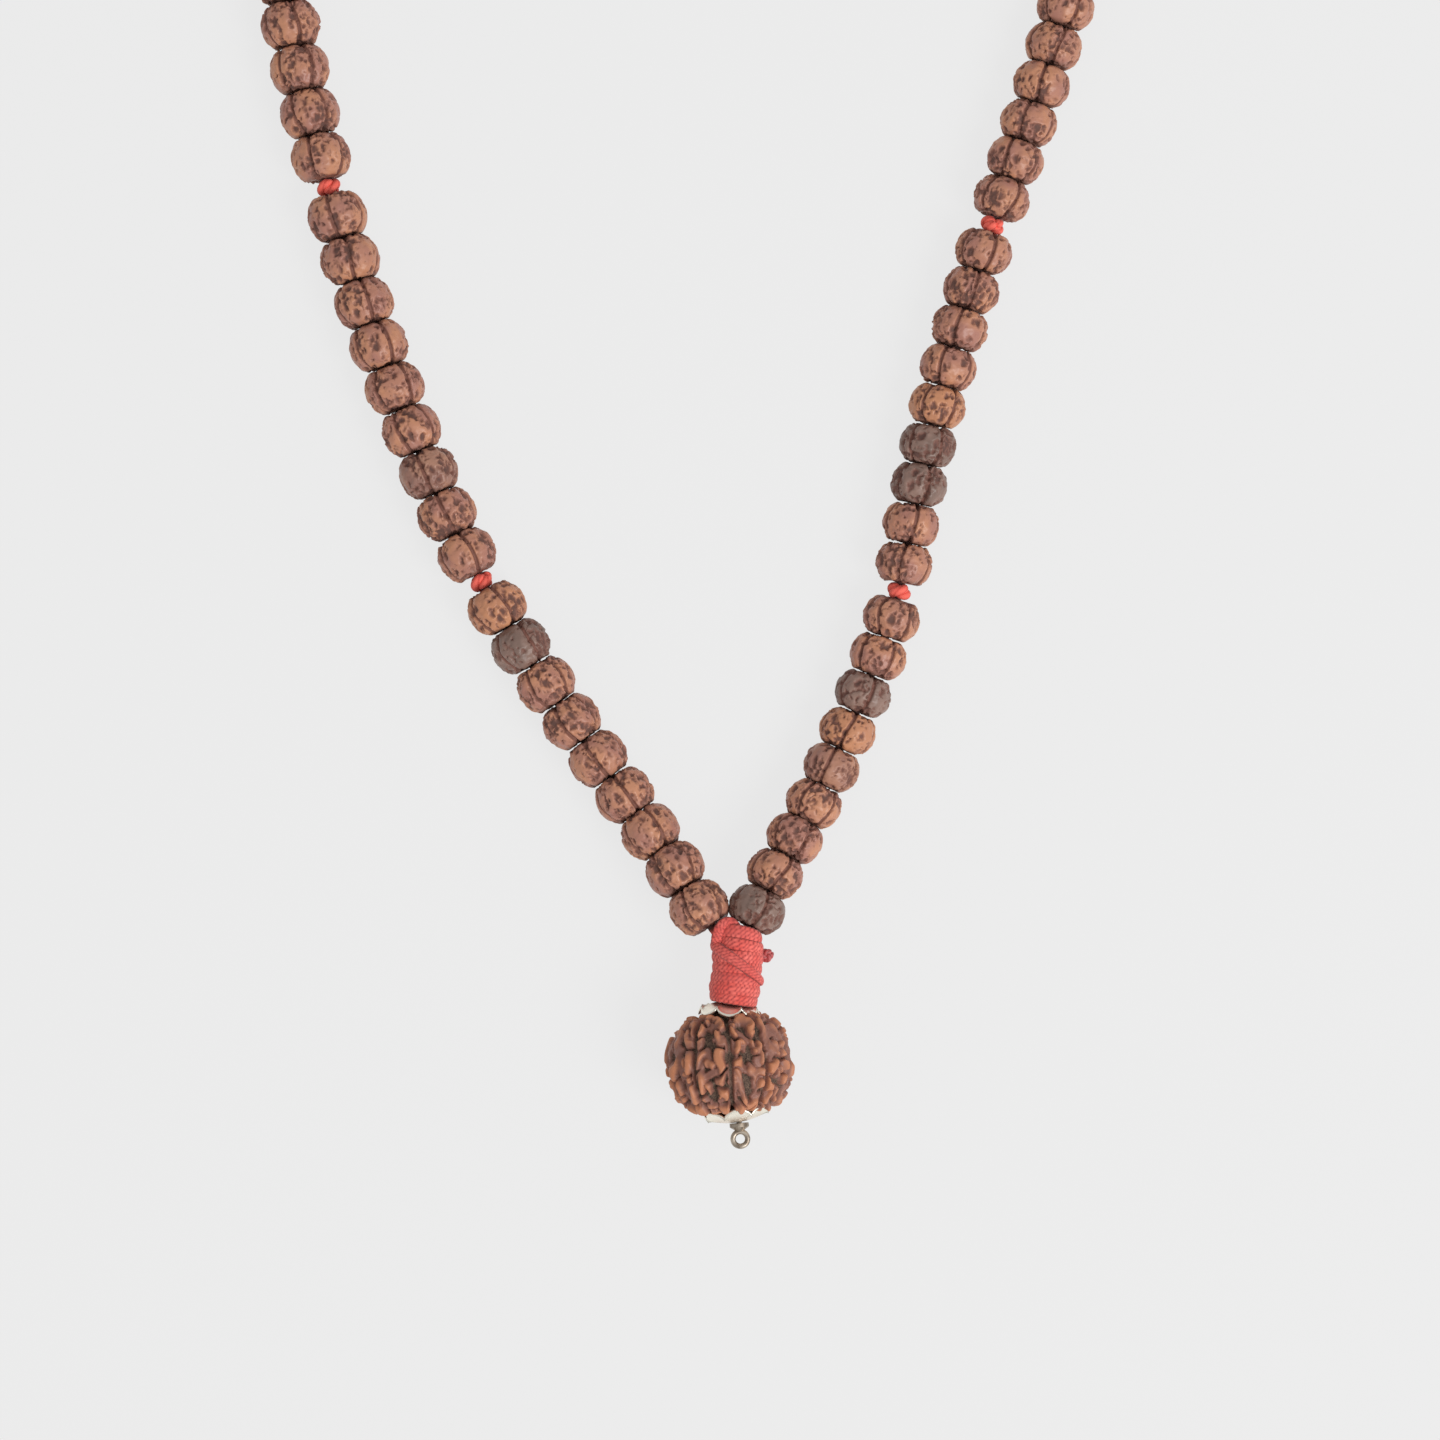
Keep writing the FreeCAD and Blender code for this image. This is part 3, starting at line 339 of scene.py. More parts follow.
def grown(name, mesh, tree, **inputs):
    """The plain mesh that a tree makes from this one, as a new object at the origin."""
    blank = new_object(name + "_blank", mesh)
    growth = blank.modifiers.new("growth", "NODES")
    growth.node_group = tree
    ports = {item.name: item.identifier for item in tree.interface.items_tree
             if item.in_out == "INPUT"}
    for port, value in inputs.items():
        growth[ports[port.replace("_", " ")]] = value
    bpy.context.view_layer.update()
    seen = blank.evaluated_get(bpy.context.evaluated_depsgraph_get())
    grown_mesh = bpy.data.meshes.new_from_object(seen)
    bpy.data.objects.remove(blank)
    grown_mesh.name = name
    return new_object(name, grown_mesh)


# Oiled seed shell, rubbed with the fingers: a satin gleam on tan plateaus, while the
# seams and pits stay dull and dark.  Patches are some 3.5 mm across, pits up to 1 mm.
rubbed_seed, tree = new_material("oiled_rudraksha")
stone = add(tree, "ShaderNodeAttribute", attribute_name="stone").outputs["Vector"]
seam, pole, tone = (add(tree, "ShaderNodeAttribute", attribute_name=name).outputs["Fac"]
                    for name in ("seam", "poleward", "tone"))
pit = pit_field(tree, stone, pole)
ragged = add(tree, NOISE, {"Vector": stone, "Scale": 4.0, "Detail": 2})
edge = add(tree, MATH, {0: ragged, 1: 0.16, 2: pit}, operation="MULTIPLY_ADD")
pits = add(tree, SHIFT, {"Value": edge, 1: -0.04, 2: 0.26, 3: 0, 4: 0.95})
deep = add(tree, SHIFT, {"Value": edge, 1: 0.18, 2: 0.46, 3: 0, 4: 0.85})
edge = add(tree, MATH, {0: ragged, 1: 0.1, 2: seam}, operation="MULTIPLY_ADD")
groove = add(tree, SHIFT, {"Value": edge, 1: 0.26, 2: 0.42, 3: 0.95, 4: 0})
hollow = add(tree, MATH, {0: pits, 1: groove}, operation="MAXIMUM")
patches = add(tree, NOISE, {"Vector": stone, "Scale": 0.28, "Detail": 2})
patches = add(tree, SHIFT, {"Value": patches, 1: 0.38, 2: 0.62, 3: 0, 4: 1})
rubbed = add(tree, BLEND, {"Factor": patches, "A": linear("#AE7868"), "B": linear("#C68A6A")},
             data_type="RGBA")

# worn ones are golden, oil-soaked ones dark
worn = add(tree, SHIFT, {"Value": tone, 1: 0, 2: -1, 3: 0, 4: 1})
dark = add(tree, SHIFT, {"Value": tone, 1: 0, 2: 1, 3: 0, 4: 1})
rubbed = add(tree, BLEND, {"Factor": worn, "A": rubbed, "B": linear("#C88A62")}, data_type="RGBA")
soaked = add(tree, BLEND, {"Factor": patches, "A": linear("#7E665C"), "B": linear("#94766A")},
             data_type="RGBA")
rubbed = add(tree, BLEND, {"Factor": dark, "A": rubbed, "B": soaked}, data_type="RGBA")
# round the poles, where seeds meet, the colour is painted darker: painted shade of the contact, with
# some grime
pole_grime_and_shade = add(tree, MATH, {0: patches, 1: -0.12, 2: pole}, operation="MULTIPLY_ADD")
pole_grime_and_shade = add(tree, SHIFT, {"Value": pole_grime_and_shade, 1: 0.66, 2: 0.82, 3: 0, 4: 0.8})
rubbed = add(tree, BLEND, {"Factor": pole_grime_and_shade, "A": rubbed, "B": linear("#6A4C42")}, data_type="RGBA")
shade = add(tree, BLEND, {"Factor": deep, "A": linear("#82564A"), "B": linear("#5A403A")},
            data_type="RGBA")
colour = add(tree, BLEND, {"Factor": hollow, "A": rubbed, "B": shade}, data_type="RGBA")
rough = add(tree, SHIFT, {"Value": hollow, 1: 0, 2: 1, 3: 0.4, 4: 0.8})
bevel = add(tree, MATH, {0: 1, 1: hollow}, operation="SUBTRACT")
bevel = add(tree, "ShaderNodeBump", {"Height": bevel, "Distance": 0.08 * MM})
skin = add(tree, "ShaderNodeBsdfPrincipled", {
    "Base Color": colour, "Roughness": rough, "IOR": 1.48, "Normal": bevel,
})
add(tree, "ShaderNodeOutputMaterial", {"Surface": skin})

carver = rubbed_carver()


def seed_points(name, seeds):
    """A mesh of bare points, one a seed, that carry what the carver reads."""
    mesh = bpy.data.meshes.new(name)
    mesh.from_pydata([seed["centre"] for seed in seeds], [], [])
    for key in ("number", "diameter", "length", "spin", "tone"):
        values = [seed[key] for seed in seeds]
        mesh.attributes.new(key, "FLOAT", "POINT").data.foreach_set("value", values)
    axes = [part for seed in seeds for part in seed["axis"]]
    mesh.attributes.new("axis", "FLOAT_VECTOR", "POINT").data.foreach_set("vector", axes)
    return mesh


def islands(node):
    """Middle, axis and size, in mm, of each separate solid of a turned node.  The
    axis is the way in which the solid spreads least."""
    copy = new_object("islands", frame["nodes"][node].data.copy())
    bpy.ops.object.select_all(action="DESELECT")
    copy.select_set(True)
    bpy.context.view_layer.objects.active = copy
    bpy.ops.object.mode_set(mode="EDIT")
    bpy.ops.mesh.select_all(action="SELECT")
    bpy.ops.mesh.remove_doubles(threshold=1e-7)
    bpy.ops.mesh.separate(type="LOOSE")
    bpy.ops.object.mode_set(mode="OBJECT")
    found = []
    for part in list(bpy.context.selected_objects):
        mesh = part.data
        areas = np.zeros(len(mesh.polygons))
        mesh.polygons.foreach_get("area", areas)
        middles = np.zeros(3 * len(areas))
        mesh.polygons.foreach_get("center", middles)
        middles = middles.reshape(-1, 3)
        centre = np.average(middles, axis=0, weights=areas)
        away = middles - centre
        spread = (away * areas[:, None]).T @ away
        axis = np.linalg.eigh(spread)[1][:, 0]
        corners = np.array([v.co for v in mesh.vertices]) - centre
        long = np.ptp(corners @ axis)
        wide = 2 * np.sqrt((corners ** 2).sum(1) - (corners @ axis) ** 2).max()
        found.append({"centre": Vector(centre), "axis": Vector(axis),
                      "length": long / MM, "diameter": wide / MM})
        bpy.data.objects.remove(part)
        bpy.data.meshes.remove(mesh)
    return found


# tone of the seeds that differ, by their place from the neck: 1 is soaked with oil,
# below 0 is rubbed golden
TONES = {
    "left": {8: 1.0, 9: -0.6, 12: 0.5},
    "right": {1: 1.0, 5: 0.3, 6: -0.6, 7: 1.0, 12: 1.0, 13: 1.0, 14: -0.6},
}
PRESSED = 0.13     # seeds crowd together on the cord, closer than their blanks do, mm
PROUD = 0.3        # ridges stand a little above the turned blank, over the diameter, mm
TURNED = 2.4       # each seed lies turned on the cord by this from the last, radians
number = 0
seed_centres = []
for joint in frame["joints"]:
    name = joint["child"]
    if "_bead_" not in name:
        continue
    number += 1
    arm, place = name.split("_bead_")
    found = islands(name)[0]
    seed = {
        "centre": Vector(joint["pos_m"]), "axis": Vector(joint["axis"]), "number": number,
        "diameter": found["diameter"] + PROUD, "length": found["length"] + PRESSED,
        "spin": TURNED * number, "tone": TONES[arm].get(int(place), 0.0),
    }
    seed_centres.append(seed["centre"])
    seed_obj = grown(name + "_rudraksha", seed_points(name, [seed]), carver, Finish=rubbed_seed)
    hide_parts(name)
    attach(seed_obj, name)

for node in [n for n in frame["nodes"] if n.startswith("back_beads_")]:
    seeds = []
    for found in islands(node):
        number += 1
        seed_centres.append(found["centre"])
        seeds.append({
            **found, "number": number, "spin": TURNED * number, "tone": 0.0,
            "diameter": found["diameter"] + PROUD, "length": found["length"] + PRESSED,
        })
    group = grown(node + "_rudraksha", seed_points(node, seeds), carver, Finish=rubbed_seed,
                  Columns=84, Rows=44)
    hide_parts(node)
    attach(group, "root")

# ---------------------------------------------------------------------------
# Guru seed: one large raw rudraksha, not rubbed.  Its ridges stand up as rounded
# orange-brown nodules over a mauve web, with fibrous dark hollows and five clefts.
# ---------------------------------------------------------------------------


def raw_carver():
    """A tree that carves a raw seed: a row of nodules down each side of every
    furrow, a web between them, and hollows in the web."""
    tree = bpy.data.node_groups.new("carve a raw seed", "GeometryNodeTree")
    given = new_ports(tree, "Seeds", {"Columns": 420, "Rows": 220}, {
        "Faces": 10.0, "Bore": 0.6, "Roundness": 0.8, "Fullness": 1.02, "Wander": 0.05,
        "Relief": 1.6, "Row offset": 1.2, "Row width": 1.0, "Nodule length": 2.9,
        "Loose cells": 0.42, "Seat": 0.6, "Lower seat": 1.3,
        "Lump depth": 1.9, "Grain depth": 0.2, "Left standing": 1.05,
    })
    parts = seed_blank(tree, given)
    stone, seam = parts["stone"], parts["seam"]
    sway = add(tree, NOISE, {"Vector": stone, "Scale": 0.42, "Detail": 0}).outputs["Color"]
    sway = add(tree, VECTOR, {0: sway, 1: (0.5, 0.5, 0.5)}, operation="SUBTRACT")
    sway = add(tree, "ShaderNodeSeparateXYZ", {0: sway}).outputs

    # a row of rounded nodules along each furrow, broken into lengths
    beside = add(tree, MATH, {0: sway["X"], 1: 3.0, 2: seam}, operation="MULTIPLY_ADD")
    beside = add(tree, MATH, {0: beside, 1: given["Row offset"]}, operation="SUBTRACT")
    beside = add(tree, MATH, {0: beside, 1: given["Row width"]}, operation="DIVIDE")
    beside = add(tree, MATH, {0: beside, 1: 2}, operation="POWER")
    chance = add(tree, "ShaderNodeTexWhiteNoise", {"W": parts["strip"]},
                 noise_dimensions="1D").outputs
    run = add(tree, MATH, {0: sway["Y"], 1: 7.0, 2: parts["level"]}, operation="MULTIPLY_ADD")
    run = add(tree, MATH, {0: run, 1: given["Nodule length"]}, operation="DIVIDE")
    run = add(tree, MATH, {0: run, 1: chance["Value"]}, operation="ADD")
    run = add(tree, MATH, {0: run, 1: 0.5}, operation="PINGPONG")
    run = add(tree, SHIFT, {"Value": run, 1: 0.05, 2: 0.32, 3: 1.0, 4: 0.0})
    run = add(tree, MATH, {0: run, 1: 2}, operation="POWER")
    rods = add(tree, MATH, {0: beside, 1: run}, operation="ADD")
    worn = add(tree, SHIFT, {"Value": sway["Z"], 1: -0.12, 2: 0.04, 3: 0.6, 4: 1})

    # loose nodules stand between the rows, one a cell, over a web of knotted ridges
    knotted = add(tree, NOISE, {"Vector": stone, "Scale": 0.55, "Detail": 0.5, "Distortion": 0.5})
    bend = add(tree, NOISE, {"Vector": stone, "Scale": 0.6, "Detail": 0}).outputs["Color"]
    bend = add(tree, VECTOR, {0: bend, 1: (2.2, 2.2, 2.2), 2: stone}, operation="MULTIPLY_ADD")
    cell = add(tree, "ShaderNodeTexVoronoi", {"Vector": bend, "Scale": given["Loose cells"]}).outputs
    size = add(tree, "ShaderNodeSeparateXYZ", {0: cell["Color"]}).outputs["X"]
    size = add(tree, SHIFT, {"Value": size, 1: 0, 2: 1, 3: 0.2, 4: 0.46})
    loose = add(tree, MATH, {0: cell["Distance"], 1: size}, operation="DIVIDE")
    loose = add(tree, MATH, {0: loose, 1: 2}, operation="POWER")
    rounded = []
    for apart, most in ((rods, worn), (loose, 0.85)):
        top = add(tree, MATH, {0: 1, 1: apart}, operation="SUBTRACT")
        top = add(tree, MATH, {0: top, 1: 0}, operation="MAXIMUM")
        top = add(tree, MATH, {0: top}, operation="SQRT")
        rounded.append(add(tree, MATH, {0: top, 1: most}, operation="MULTIPLY"))
    web = add(tree, SHIFT, {"Value": knotted, 1: 0.45, 2: 0.57, 3: 0.0, 4: 0.5},
              interpolation_type="SMOOTHSTEP")
    tops = add(tree, MATH, {0: rounded[0], 1: rounded[1], 2: 0.2}, operation="SMOOTH_MAX")
    height = add(tree, MATH, {0: tops, 1: web, 2: 0.2}, operation="SMOOTH_MAX")
    furrow = add(tree, SHIFT, {"Value": seam, 1: 0.12, 2: 0.55, 3: 0.25, 4: 1},
                 interpolation_type="SMOOTHSTEP")
    height = add(tree, MATH, {0: height, 1: furrow}, operation="MULTIPLY")

    # both poles are worn down where the caps sit, the lower one further
    depth = add(tree, MATH, {0: 1, 1: height}, operation="SUBTRACT")
    depth = add(tree, MATH, {0: depth, 1: given["Relief"]}, operation="MULTIPLY")
    lumps = add(tree, NOISE, {"Vector": stone, "Scale": 0.2, "Detail": 1})
    grain = add(tree, NOISE, {"Vector": stone, "Scale": 1.6, "Detail": 1})
    deep = add(tree, SHIFT, {"Value": parts["level"], 1: -1, 2: 1,
                             3: given["Lower seat"], 4: given["Seat"]})
    seat = add(tree, SHIFT, {"Value": parts["poleward"], 1: 0.85, 2: 0.95, 3: 0, 4: deep},
               interpolation_type="SMOOTHSTEP")
    depth = add(tree, MATH, {0: lumps, 1: given["Lump depth"], 2: depth}, operation="MULTIPLY_ADD")
    depth = add(tree, MATH, {0: grain, 1: given["Grain depth"], 2: depth}, operation="MULTIPLY_ADD")
    depth = add(tree, MATH, {0: depth, 1: given["Left standing"]}, operation="SUBTRACT")
    depth = add(tree, MATH, {0: depth, 1: seat}, operation="ADD")
    carved(tree, given, parts, depth, {"nodule": height, "seam": seam})
    return tree


# Raw seed shell: waxy orange-brown where nodules have been handled, a mauve skin
# between them and dry grey-brown fibres, 0.25 mm apart, on the hollows' floors.
raw_seed, tree = new_material("raw_rudraksha")
stone = add(tree, "ShaderNodeAttribute", attribute_name="stone").outputs["Vector"]
nodule = add(tree, "ShaderNodeAttribute", attribute_name="nodule").outputs["Fac"]
fibres = add(tree, NOISE, {"Vector": stone, "Scale": 4.0, "Detail": 4, "Distortion": 1.5})
fibres = add(tree, SHIFT, {"Value": fibres, 1: 0.4, 2: 0.62, 3: 0, 4: 1})
mottle = add(tree, NOISE, {"Vector": stone, "Scale": 0.9, "Detail": 2})
high = add(tree, MATH, {0: mottle, 1: 0.3, 2: nodule}, operation="MULTIPLY_ADD")
tops = add(tree, SHIFT, {"Value": high, 1: 0.66, 2: 1.0, 3: 0, 4: 1})
web = add(tree, SHIFT, {"Value": high, 1: 0.26, 2: 0.52, 3: 0, 4: 1})
floor = add(tree, BLEND, {"Factor": fibres, "A": linear("#3A2C26"), "B": linear("#7C6454")},
            data_type="RGBA")
colour = add(tree, BLEND, {"Factor": web, "A": floor, "B": linear("#8E5E50")}, data_type="RGBA")
colour = add(tree, BLEND, {"Factor": tops, "A": colour, "B": linear("#C07C58")}, data_type="RGBA")
rough = add(tree, SHIFT, {"Value": web, 1: 0, 2: 1, 3: 0.9, 4: 0.5})
skin = add(tree, "ShaderNodeBsdfPrincipled", {"Base Color": colour, "Roughness": rough, "IOR": 1.5})
add(tree, "ShaderNodeOutputMaterial", {"Surface": skin})

guru_spin = next(j for j in frame["joints"] if j["name"] == "guru_spin")
pin_axis = Vector(guru_spin["axis"])


def span(node, axis):
    """How far a node reaches, low and high, along an axis through the origin."""
    reach = [v.co.dot(axis) for v in frame["nodes"][node].data.vertices]
    return min(reach), max(reach)


CLEFT_UP = math.radians(-86)     # turns a cleft to the top, a little to the right
LOPSIDED = 0.7                   # the seed is fuller on the left of its bore, mm
SUNK = 0.4                       # it rests low on its pin, against the lower cap, mm
low, high = span("guru_bead", pin_axis)
guru_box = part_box("guru_bead")
guru = {
    "centre": Vector(guru_spin["pos_m"]), "axis": pin_axis, "number": 3, "spin": CLEFT_UP, "tone": 0,
    "length": (high - low) / MM, "diameter": (guru_box[1].x - guru_box[0].x) / MM,
}
guru["centre"] += pin_axis * ((low + high) / 2 - SUNK * MM - guru["centre"].dot(pin_axis))
guru["centre"] -= Vector((LOPSIDED, 0, 0)) * MM
guru_obj = grown("guru_rudraksha", seed_points("guru", [guru]), raw_carver(), Finish=raw_seed)
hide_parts("guru_bead")
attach(guru_obj, "guru")

# ---------------------------------------------------------------------------
# Bound neck: a flat braided red cord wound down over the hook and the cord's
# bight, with its last turn drawn across the others and pulled under on the right.
# ---------------------------------------------------------------------------
WINDING_ACROSS, WINDING_THICK = 2.2, 1.05         # the braid, mm
STITCH = 0.68                                     # one stitch of the braid, mm
NECK_RADIUS = 3.75                                # outside of the winding, mm
NECK_DOME = 4.75                                  # its top keeps inside this of the pivot, mm
WRAP_LEAN = math.radians(7.8)                     # lean of the winding from the pin
NECK_SHIFT = 0.3                                  # its middle is right of the pivot, mm
END_TAPER = 0.6                                   # over which a cord's end closes, mm


def cord_layer(name, whole, real, relief):
    """A tree that lays a cord along the input's line of points.  Each point says
    which way is outward; relief builds the height of the strands on its skin."""
    tree = bpy.data.node_groups.new(name, "GeometryNodeTree")
    given = new_ports(tree, "Path", whole, real)
    place = add(tree, "GeometryNodeInputPosition")
    across = add(tree, MATH, {0: given["Steps"], 1: 1}, operation="ADD")
    round_it = add(tree, MATH, {0: given["Sides"], 1: 1}, operation="ADD")
    sheet = add(tree, "GeometryNodeMeshGrid",
                {"Size X": 1, "Size Y": 1, "Vertices X": across, "Vertices Y": round_it})
    sheet = store(tree, sheet, "FLOAT_VECTOR", "sheet", place)
    split = add(tree, "ShaderNodeSeparateXYZ", {0: field(tree, "FLOAT_VECTOR", "sheet")})
    share = add(tree, MATH, {0: split.outputs["X"], 1: 0.5}, operation="ADD")
    curve = add(tree, "GeometryNodeMeshToCurve", {"Mesh": given["Path"]})
    length = add(tree, "GeometryNodeCurveLength", {"Curve": curve})
    along = add(tree, MATH, {0: share, 1: length}, operation="MULTIPLY")
    along = add(tree, MATH, {0: along, 1: 1 / MM}, operation="MULTIPLY")
    spot = add(tree, "GeometryNodeSampleCurve",
               {"Curves": curve, "Value": field(tree, "FLOAT_VECTOR", "outward"), "Factor": share},
               data_type="FLOAT_VECTOR", mode="FACTOR", use_all_curves=True).outputs
    value = next(s for s in spot if s.name == "Value" and s.enabled)
    width = add(tree, "GeometryNodeSampleCurve",
                {"Curves": curve, "Value": field(tree, "FLOAT", "width"), "Factor": share},
                data_type="FLOAT", mode="FACTOR", use_all_curves=True).outputs
    width = next(s for s in width if s.name == "Value" and s.enabled)
    side = add(tree, VECTOR, {0: spot["Tangent"], 1: value}, operation="CROSS_PRODUCT")
    side = add(tree, VECTOR, {0: side}, operation="NORMALIZE")
    out = add(tree, VECTOR, {0: side, 1: spot["Tangent"]}, operation="CROSS_PRODUCT")
    turn = add(tree, MATH, {0: split.outputs["Y"], 1: -2 * math.pi}, operation="MULTIPLY")
    cosine = add(tree, MATH, {0: turn}, operation="COSINE")
    sine = add(tree, MATH, {0: turn}, operation="SINE")
    ends = add(tree, MATH, {0: share, 1: 0.5}, operation="PINGPONG")
    ends = add(tree, MATH, {0: ends, 1: length}, operation="MULTIPLY")
    ends = add(tree, SHIFT, {"Value": ends, 1: 0, 2: END_TAPER * MM, 3: 0, 4: 1},
               interpolation_type="SMOOTHSTEP")
    bump = relief(tree, given, along, turn, cosine, sine)
    swell = add(tree, MATH, {0: bump, 1: given["Relief"], 2: 1}, operation="MULTIPLY_ADD")
    swell = add(tree, MATH, {0: swell, 1: ends}, operation="MULTIPLY")
    skin = spot["Position"]
    for way, size, parts in ((side, "Across", (width, sine, swell)), (out, "Thick", (cosine, swell))):
        reach = add(tree, MATH, {0: given[size], 1: MM / 2}, operation="MULTIPLY")
        for part in parts:
            reach = add(tree, MATH, {0: reach, 1: part}, operation="MULTIPLY")
        way = add(tree, VECTOR, {0: way, "Scale": reach}, operation="SCALE")
        skin = add(tree, VECTOR, {0: skin, 1: way}, operation="ADD")
    cord = store(tree, sheet, "FLOAT", "along", along)
    cord = store(tree, cord, "FLOAT", "across", sine)
    cord = store(tree, cord, "FLOAT", "bump", bump)
    cord = add(tree, "GeometryNodeSetPosition", {"Geometry": cord, "Position": skin})
    cord = add(tree, "GeometryNodeMergeByDistance", {"Geometry": cord, "Distance": 1e-6})
    cord = add(tree, "GeometryNodeSetShadeSmooth", {"Geometry": cord})
    cord = add(tree, "GeometryNodeRealizeInstances", {"Geometry": cord})
    cord = add(tree, "GeometryNodeSetMaterial", {"Geometry": cord, "Material": given["Finish"]})
    add(tree, "NodeGroupOutput", {0: cord})
    return tree


def ridges(tree, phase, power):
    """Rounded ridges with narrow valleys, one to each whole step of the phase."""
    wave = add(tree, MATH, {0: phase, 1: math.pi}, operation="MULTIPLY")
    wave = add(tree, MATH, {0: wave}, operation="SINE")
    wave = add(tree, MATH, {0: wave}, operation="ABSOLUTE")
    return add(tree, MATH, {0: wave, 1: power}, operation="POWER")


def braid(tree, given, along, turn, cosine, sine):
    """Rows of slanting stitches that mirror each other across the cord, as V's."""
    lane = add(tree, MATH, {0: sine, 1: 2.5, 2: 0.5}, operation="MULTIPLY_ADD")
    slant = add(tree, MATH, {0: lane, 1: 1}, operation="PINGPONG")
    loose = add(tree, NOISE, {"W": along, "Scale": 0.7, "Detail": 1}, noise_dimensions="1D")
    phase = add(tree, MATH, {0: along, 1: given["Stitch"]}, operation="DIVIDE")
    phase = add(tree, MATH, {0: slant, 1: 0.8, 2: phase}, operation="MULTIPLY_ADD")
    phase = add(tree, MATH, {0: loose, 1: 1.2, 2: phase}, operation="MULTIPLY_ADD")
    stitch, row = ridges(tree, phase, 0.5), ridges(tree, lane, 0.3)
    return add(tree, MATH, {0: stitch, 1: row}, operation="MULTIPLY")


braid_layer = cord_layer("lay a flat braid", {"Steps": 1500, "Sides": 24}, {
    "Across": WINDING_ACROSS, "Thick": WINDING_THICK, "Stitch": STITCH, "Relief": 0.13,
}, braid)


def path_mesh(name, points, outwards, widths=None):
    """A line of points, each with its outward direction and its share of the width."""
    mesh = bpy.data.meshes.new(name)
    mesh.from_pydata(points, [(i, i + 1) for i in range(len(points) - 1)], [])
    flat = [part for outward in outwards for part in outward]
    mesh.attributes.new("outward", "FLOAT_VECTOR", "POINT").data.foreach_set("vector", flat)
    widths = widths or [1.0] * len(points)
    mesh.attributes.new("width", "FLOAT", "POINT").data.foreach_set("value", widths)
    return mesh


# the neck's own frame: right, towards the neck, and up from the table
across = pin_axis.cross(Vector((0, 0, 1))).normalized()
up = across.cross(pin_axis).normalized()
neck_axis = Matrix.Rotation(-WRAP_LEAN, 3, up) @ pin_axis
neck_right = neck_axis.cross(up).normalized()

# each turn as its height, its lift off the neck and its share of the width, on the
# left and on the right of its front half, then how far that half arches up the neck
# and off it; it goes down the front to the right and back behind.  The turn before
# the last is the one drawn across the others.
TURNS = [
    ((2.4, 0.0, 1.0), (1.9, -0.25, 0.85), 0.65, 0), ((1.2, -0.4, 0.85), (0.4, 0.05, 0.9), 0.1, 0),
    ((-0.9, 0.0, 0.9), (-0.9, 0.15, 0.9), 0.0, 0), ((-2.5, -0.15, 0.9), (-2.5, 0.0, 0.9), 0.0, 0),
    ((-4.1, 0.0, 0.85), (-4.3, 0.0, 0.85), 0.15, 0), ((-5.4, 0.15, 0.9), (-5.8, -0.1, 0.9), 0.0, 0),
    ((-6.6, 0.0, 0.85), (-7.2, -0.4, 0.85), -0.1, 0), ((0.7, 0.3, 0.8), (-4.3, 0.35, 0.6), 0.2, 0.4),
    ((-3.6, -0.5, 0.6), (-2.6, -0.5, 0.6), 0.0, 0),
]
TURN_STEPS = 24
DOME_LOW = 0.6                   # the middle of the neck's domed top is below the pivot, mm
ends = [end for left, right, _, _ in TURNS for end in (left, right)]
points, outwards, widths = [], [], []
for step in range((len(ends) - 1) * TURN_STEPS // 2 + 1):
    half = step / (TURN_STEPS / 2)
    i = min(int(half), len(ends) - 2)
    ease = (1 - math.cos(math.pi * (half - i))) / 2
    height, lift, width = (a + (b - a) * ease for a, b in zip(ends[i], ends[i + 1]))
    front = math.sin(math.pi * (half - i)) if i % 2 == 0 else 0
    height += TURNS[i // 2][2] * front
    radius = NECK_RADIUS + lift + TURNS[i // 2][3] * front
    if height > 0:
        radius = min(radius, math.sqrt(max(NECK_DOME ** 2 - (height + DOME_LOW) ** 2, 1)))
    radius -= WINDING_THICK / 2
    angle = math.pi * (1 - half)
    outward = neck_right * math.cos(angle) + up * math.sin(angle)
    points.append(pivot + (outward * radius + neck_axis * height + neck_right * NECK_SHIFT) * MM)
    outwards.append(outward)
    widths.append(width)

# Braided cotton, dyed red: matt, with a faint fuzz at its edges.  Each stitch's crown is painted
# lighter and the valleys between stitches darker: painted light and painted shade.
bound_thread, tree = new_material("braided_red_cotton")
bump, along, side = (add(tree, "ShaderNodeAttribute", attribute_name=name).outputs["Fac"]
                     for name in ("bump", "along", "across"))
place = add(tree, "ShaderNodeTexCoord").outputs["Object"]
wear = add(tree, NOISE, {"Vector": place, "Scale": 420, "Detail": 3})
wear = add(tree, SHIFT, {"Value": wear, 1: 0.35, 2: 0.65, 3: 0, 4: 1})
# painted light on the stitches' crowns and painted shade in their valleys
painted_crown_light = add(tree, SHIFT, {"Value": bump, 1: 0.35, 2: 0.9, 3: 0, 4: 1})
fresh = add(tree, BLEND, {"Factor": wear, "A": linear("#F05F54"), "B": linear("#FF7E72")},
            data_type="RGBA")
colour = add(tree, BLEND, {"Factor": painted_crown_light, "A": linear("#AE403E"), "B": fresh}, data_type="RGBA")

# some lengths are painted darker: painted shade on those turns
painted_shade_lengths = add(tree, NOISE, {"W": along, "Scale": 0.09, "Detail": 0}, noise_dimensions="1D")
painted_shade_lengths = add(tree, SHIFT, {"Value": painted_shade_lengths, 1: 0.52, 2: 0.68, 3: 0, 4: 0.2})
colour = add(tree, BLEND, {"Factor": painted_shade_lengths, "A": colour, "B": linear("#B85654")}, data_type="RGBA")
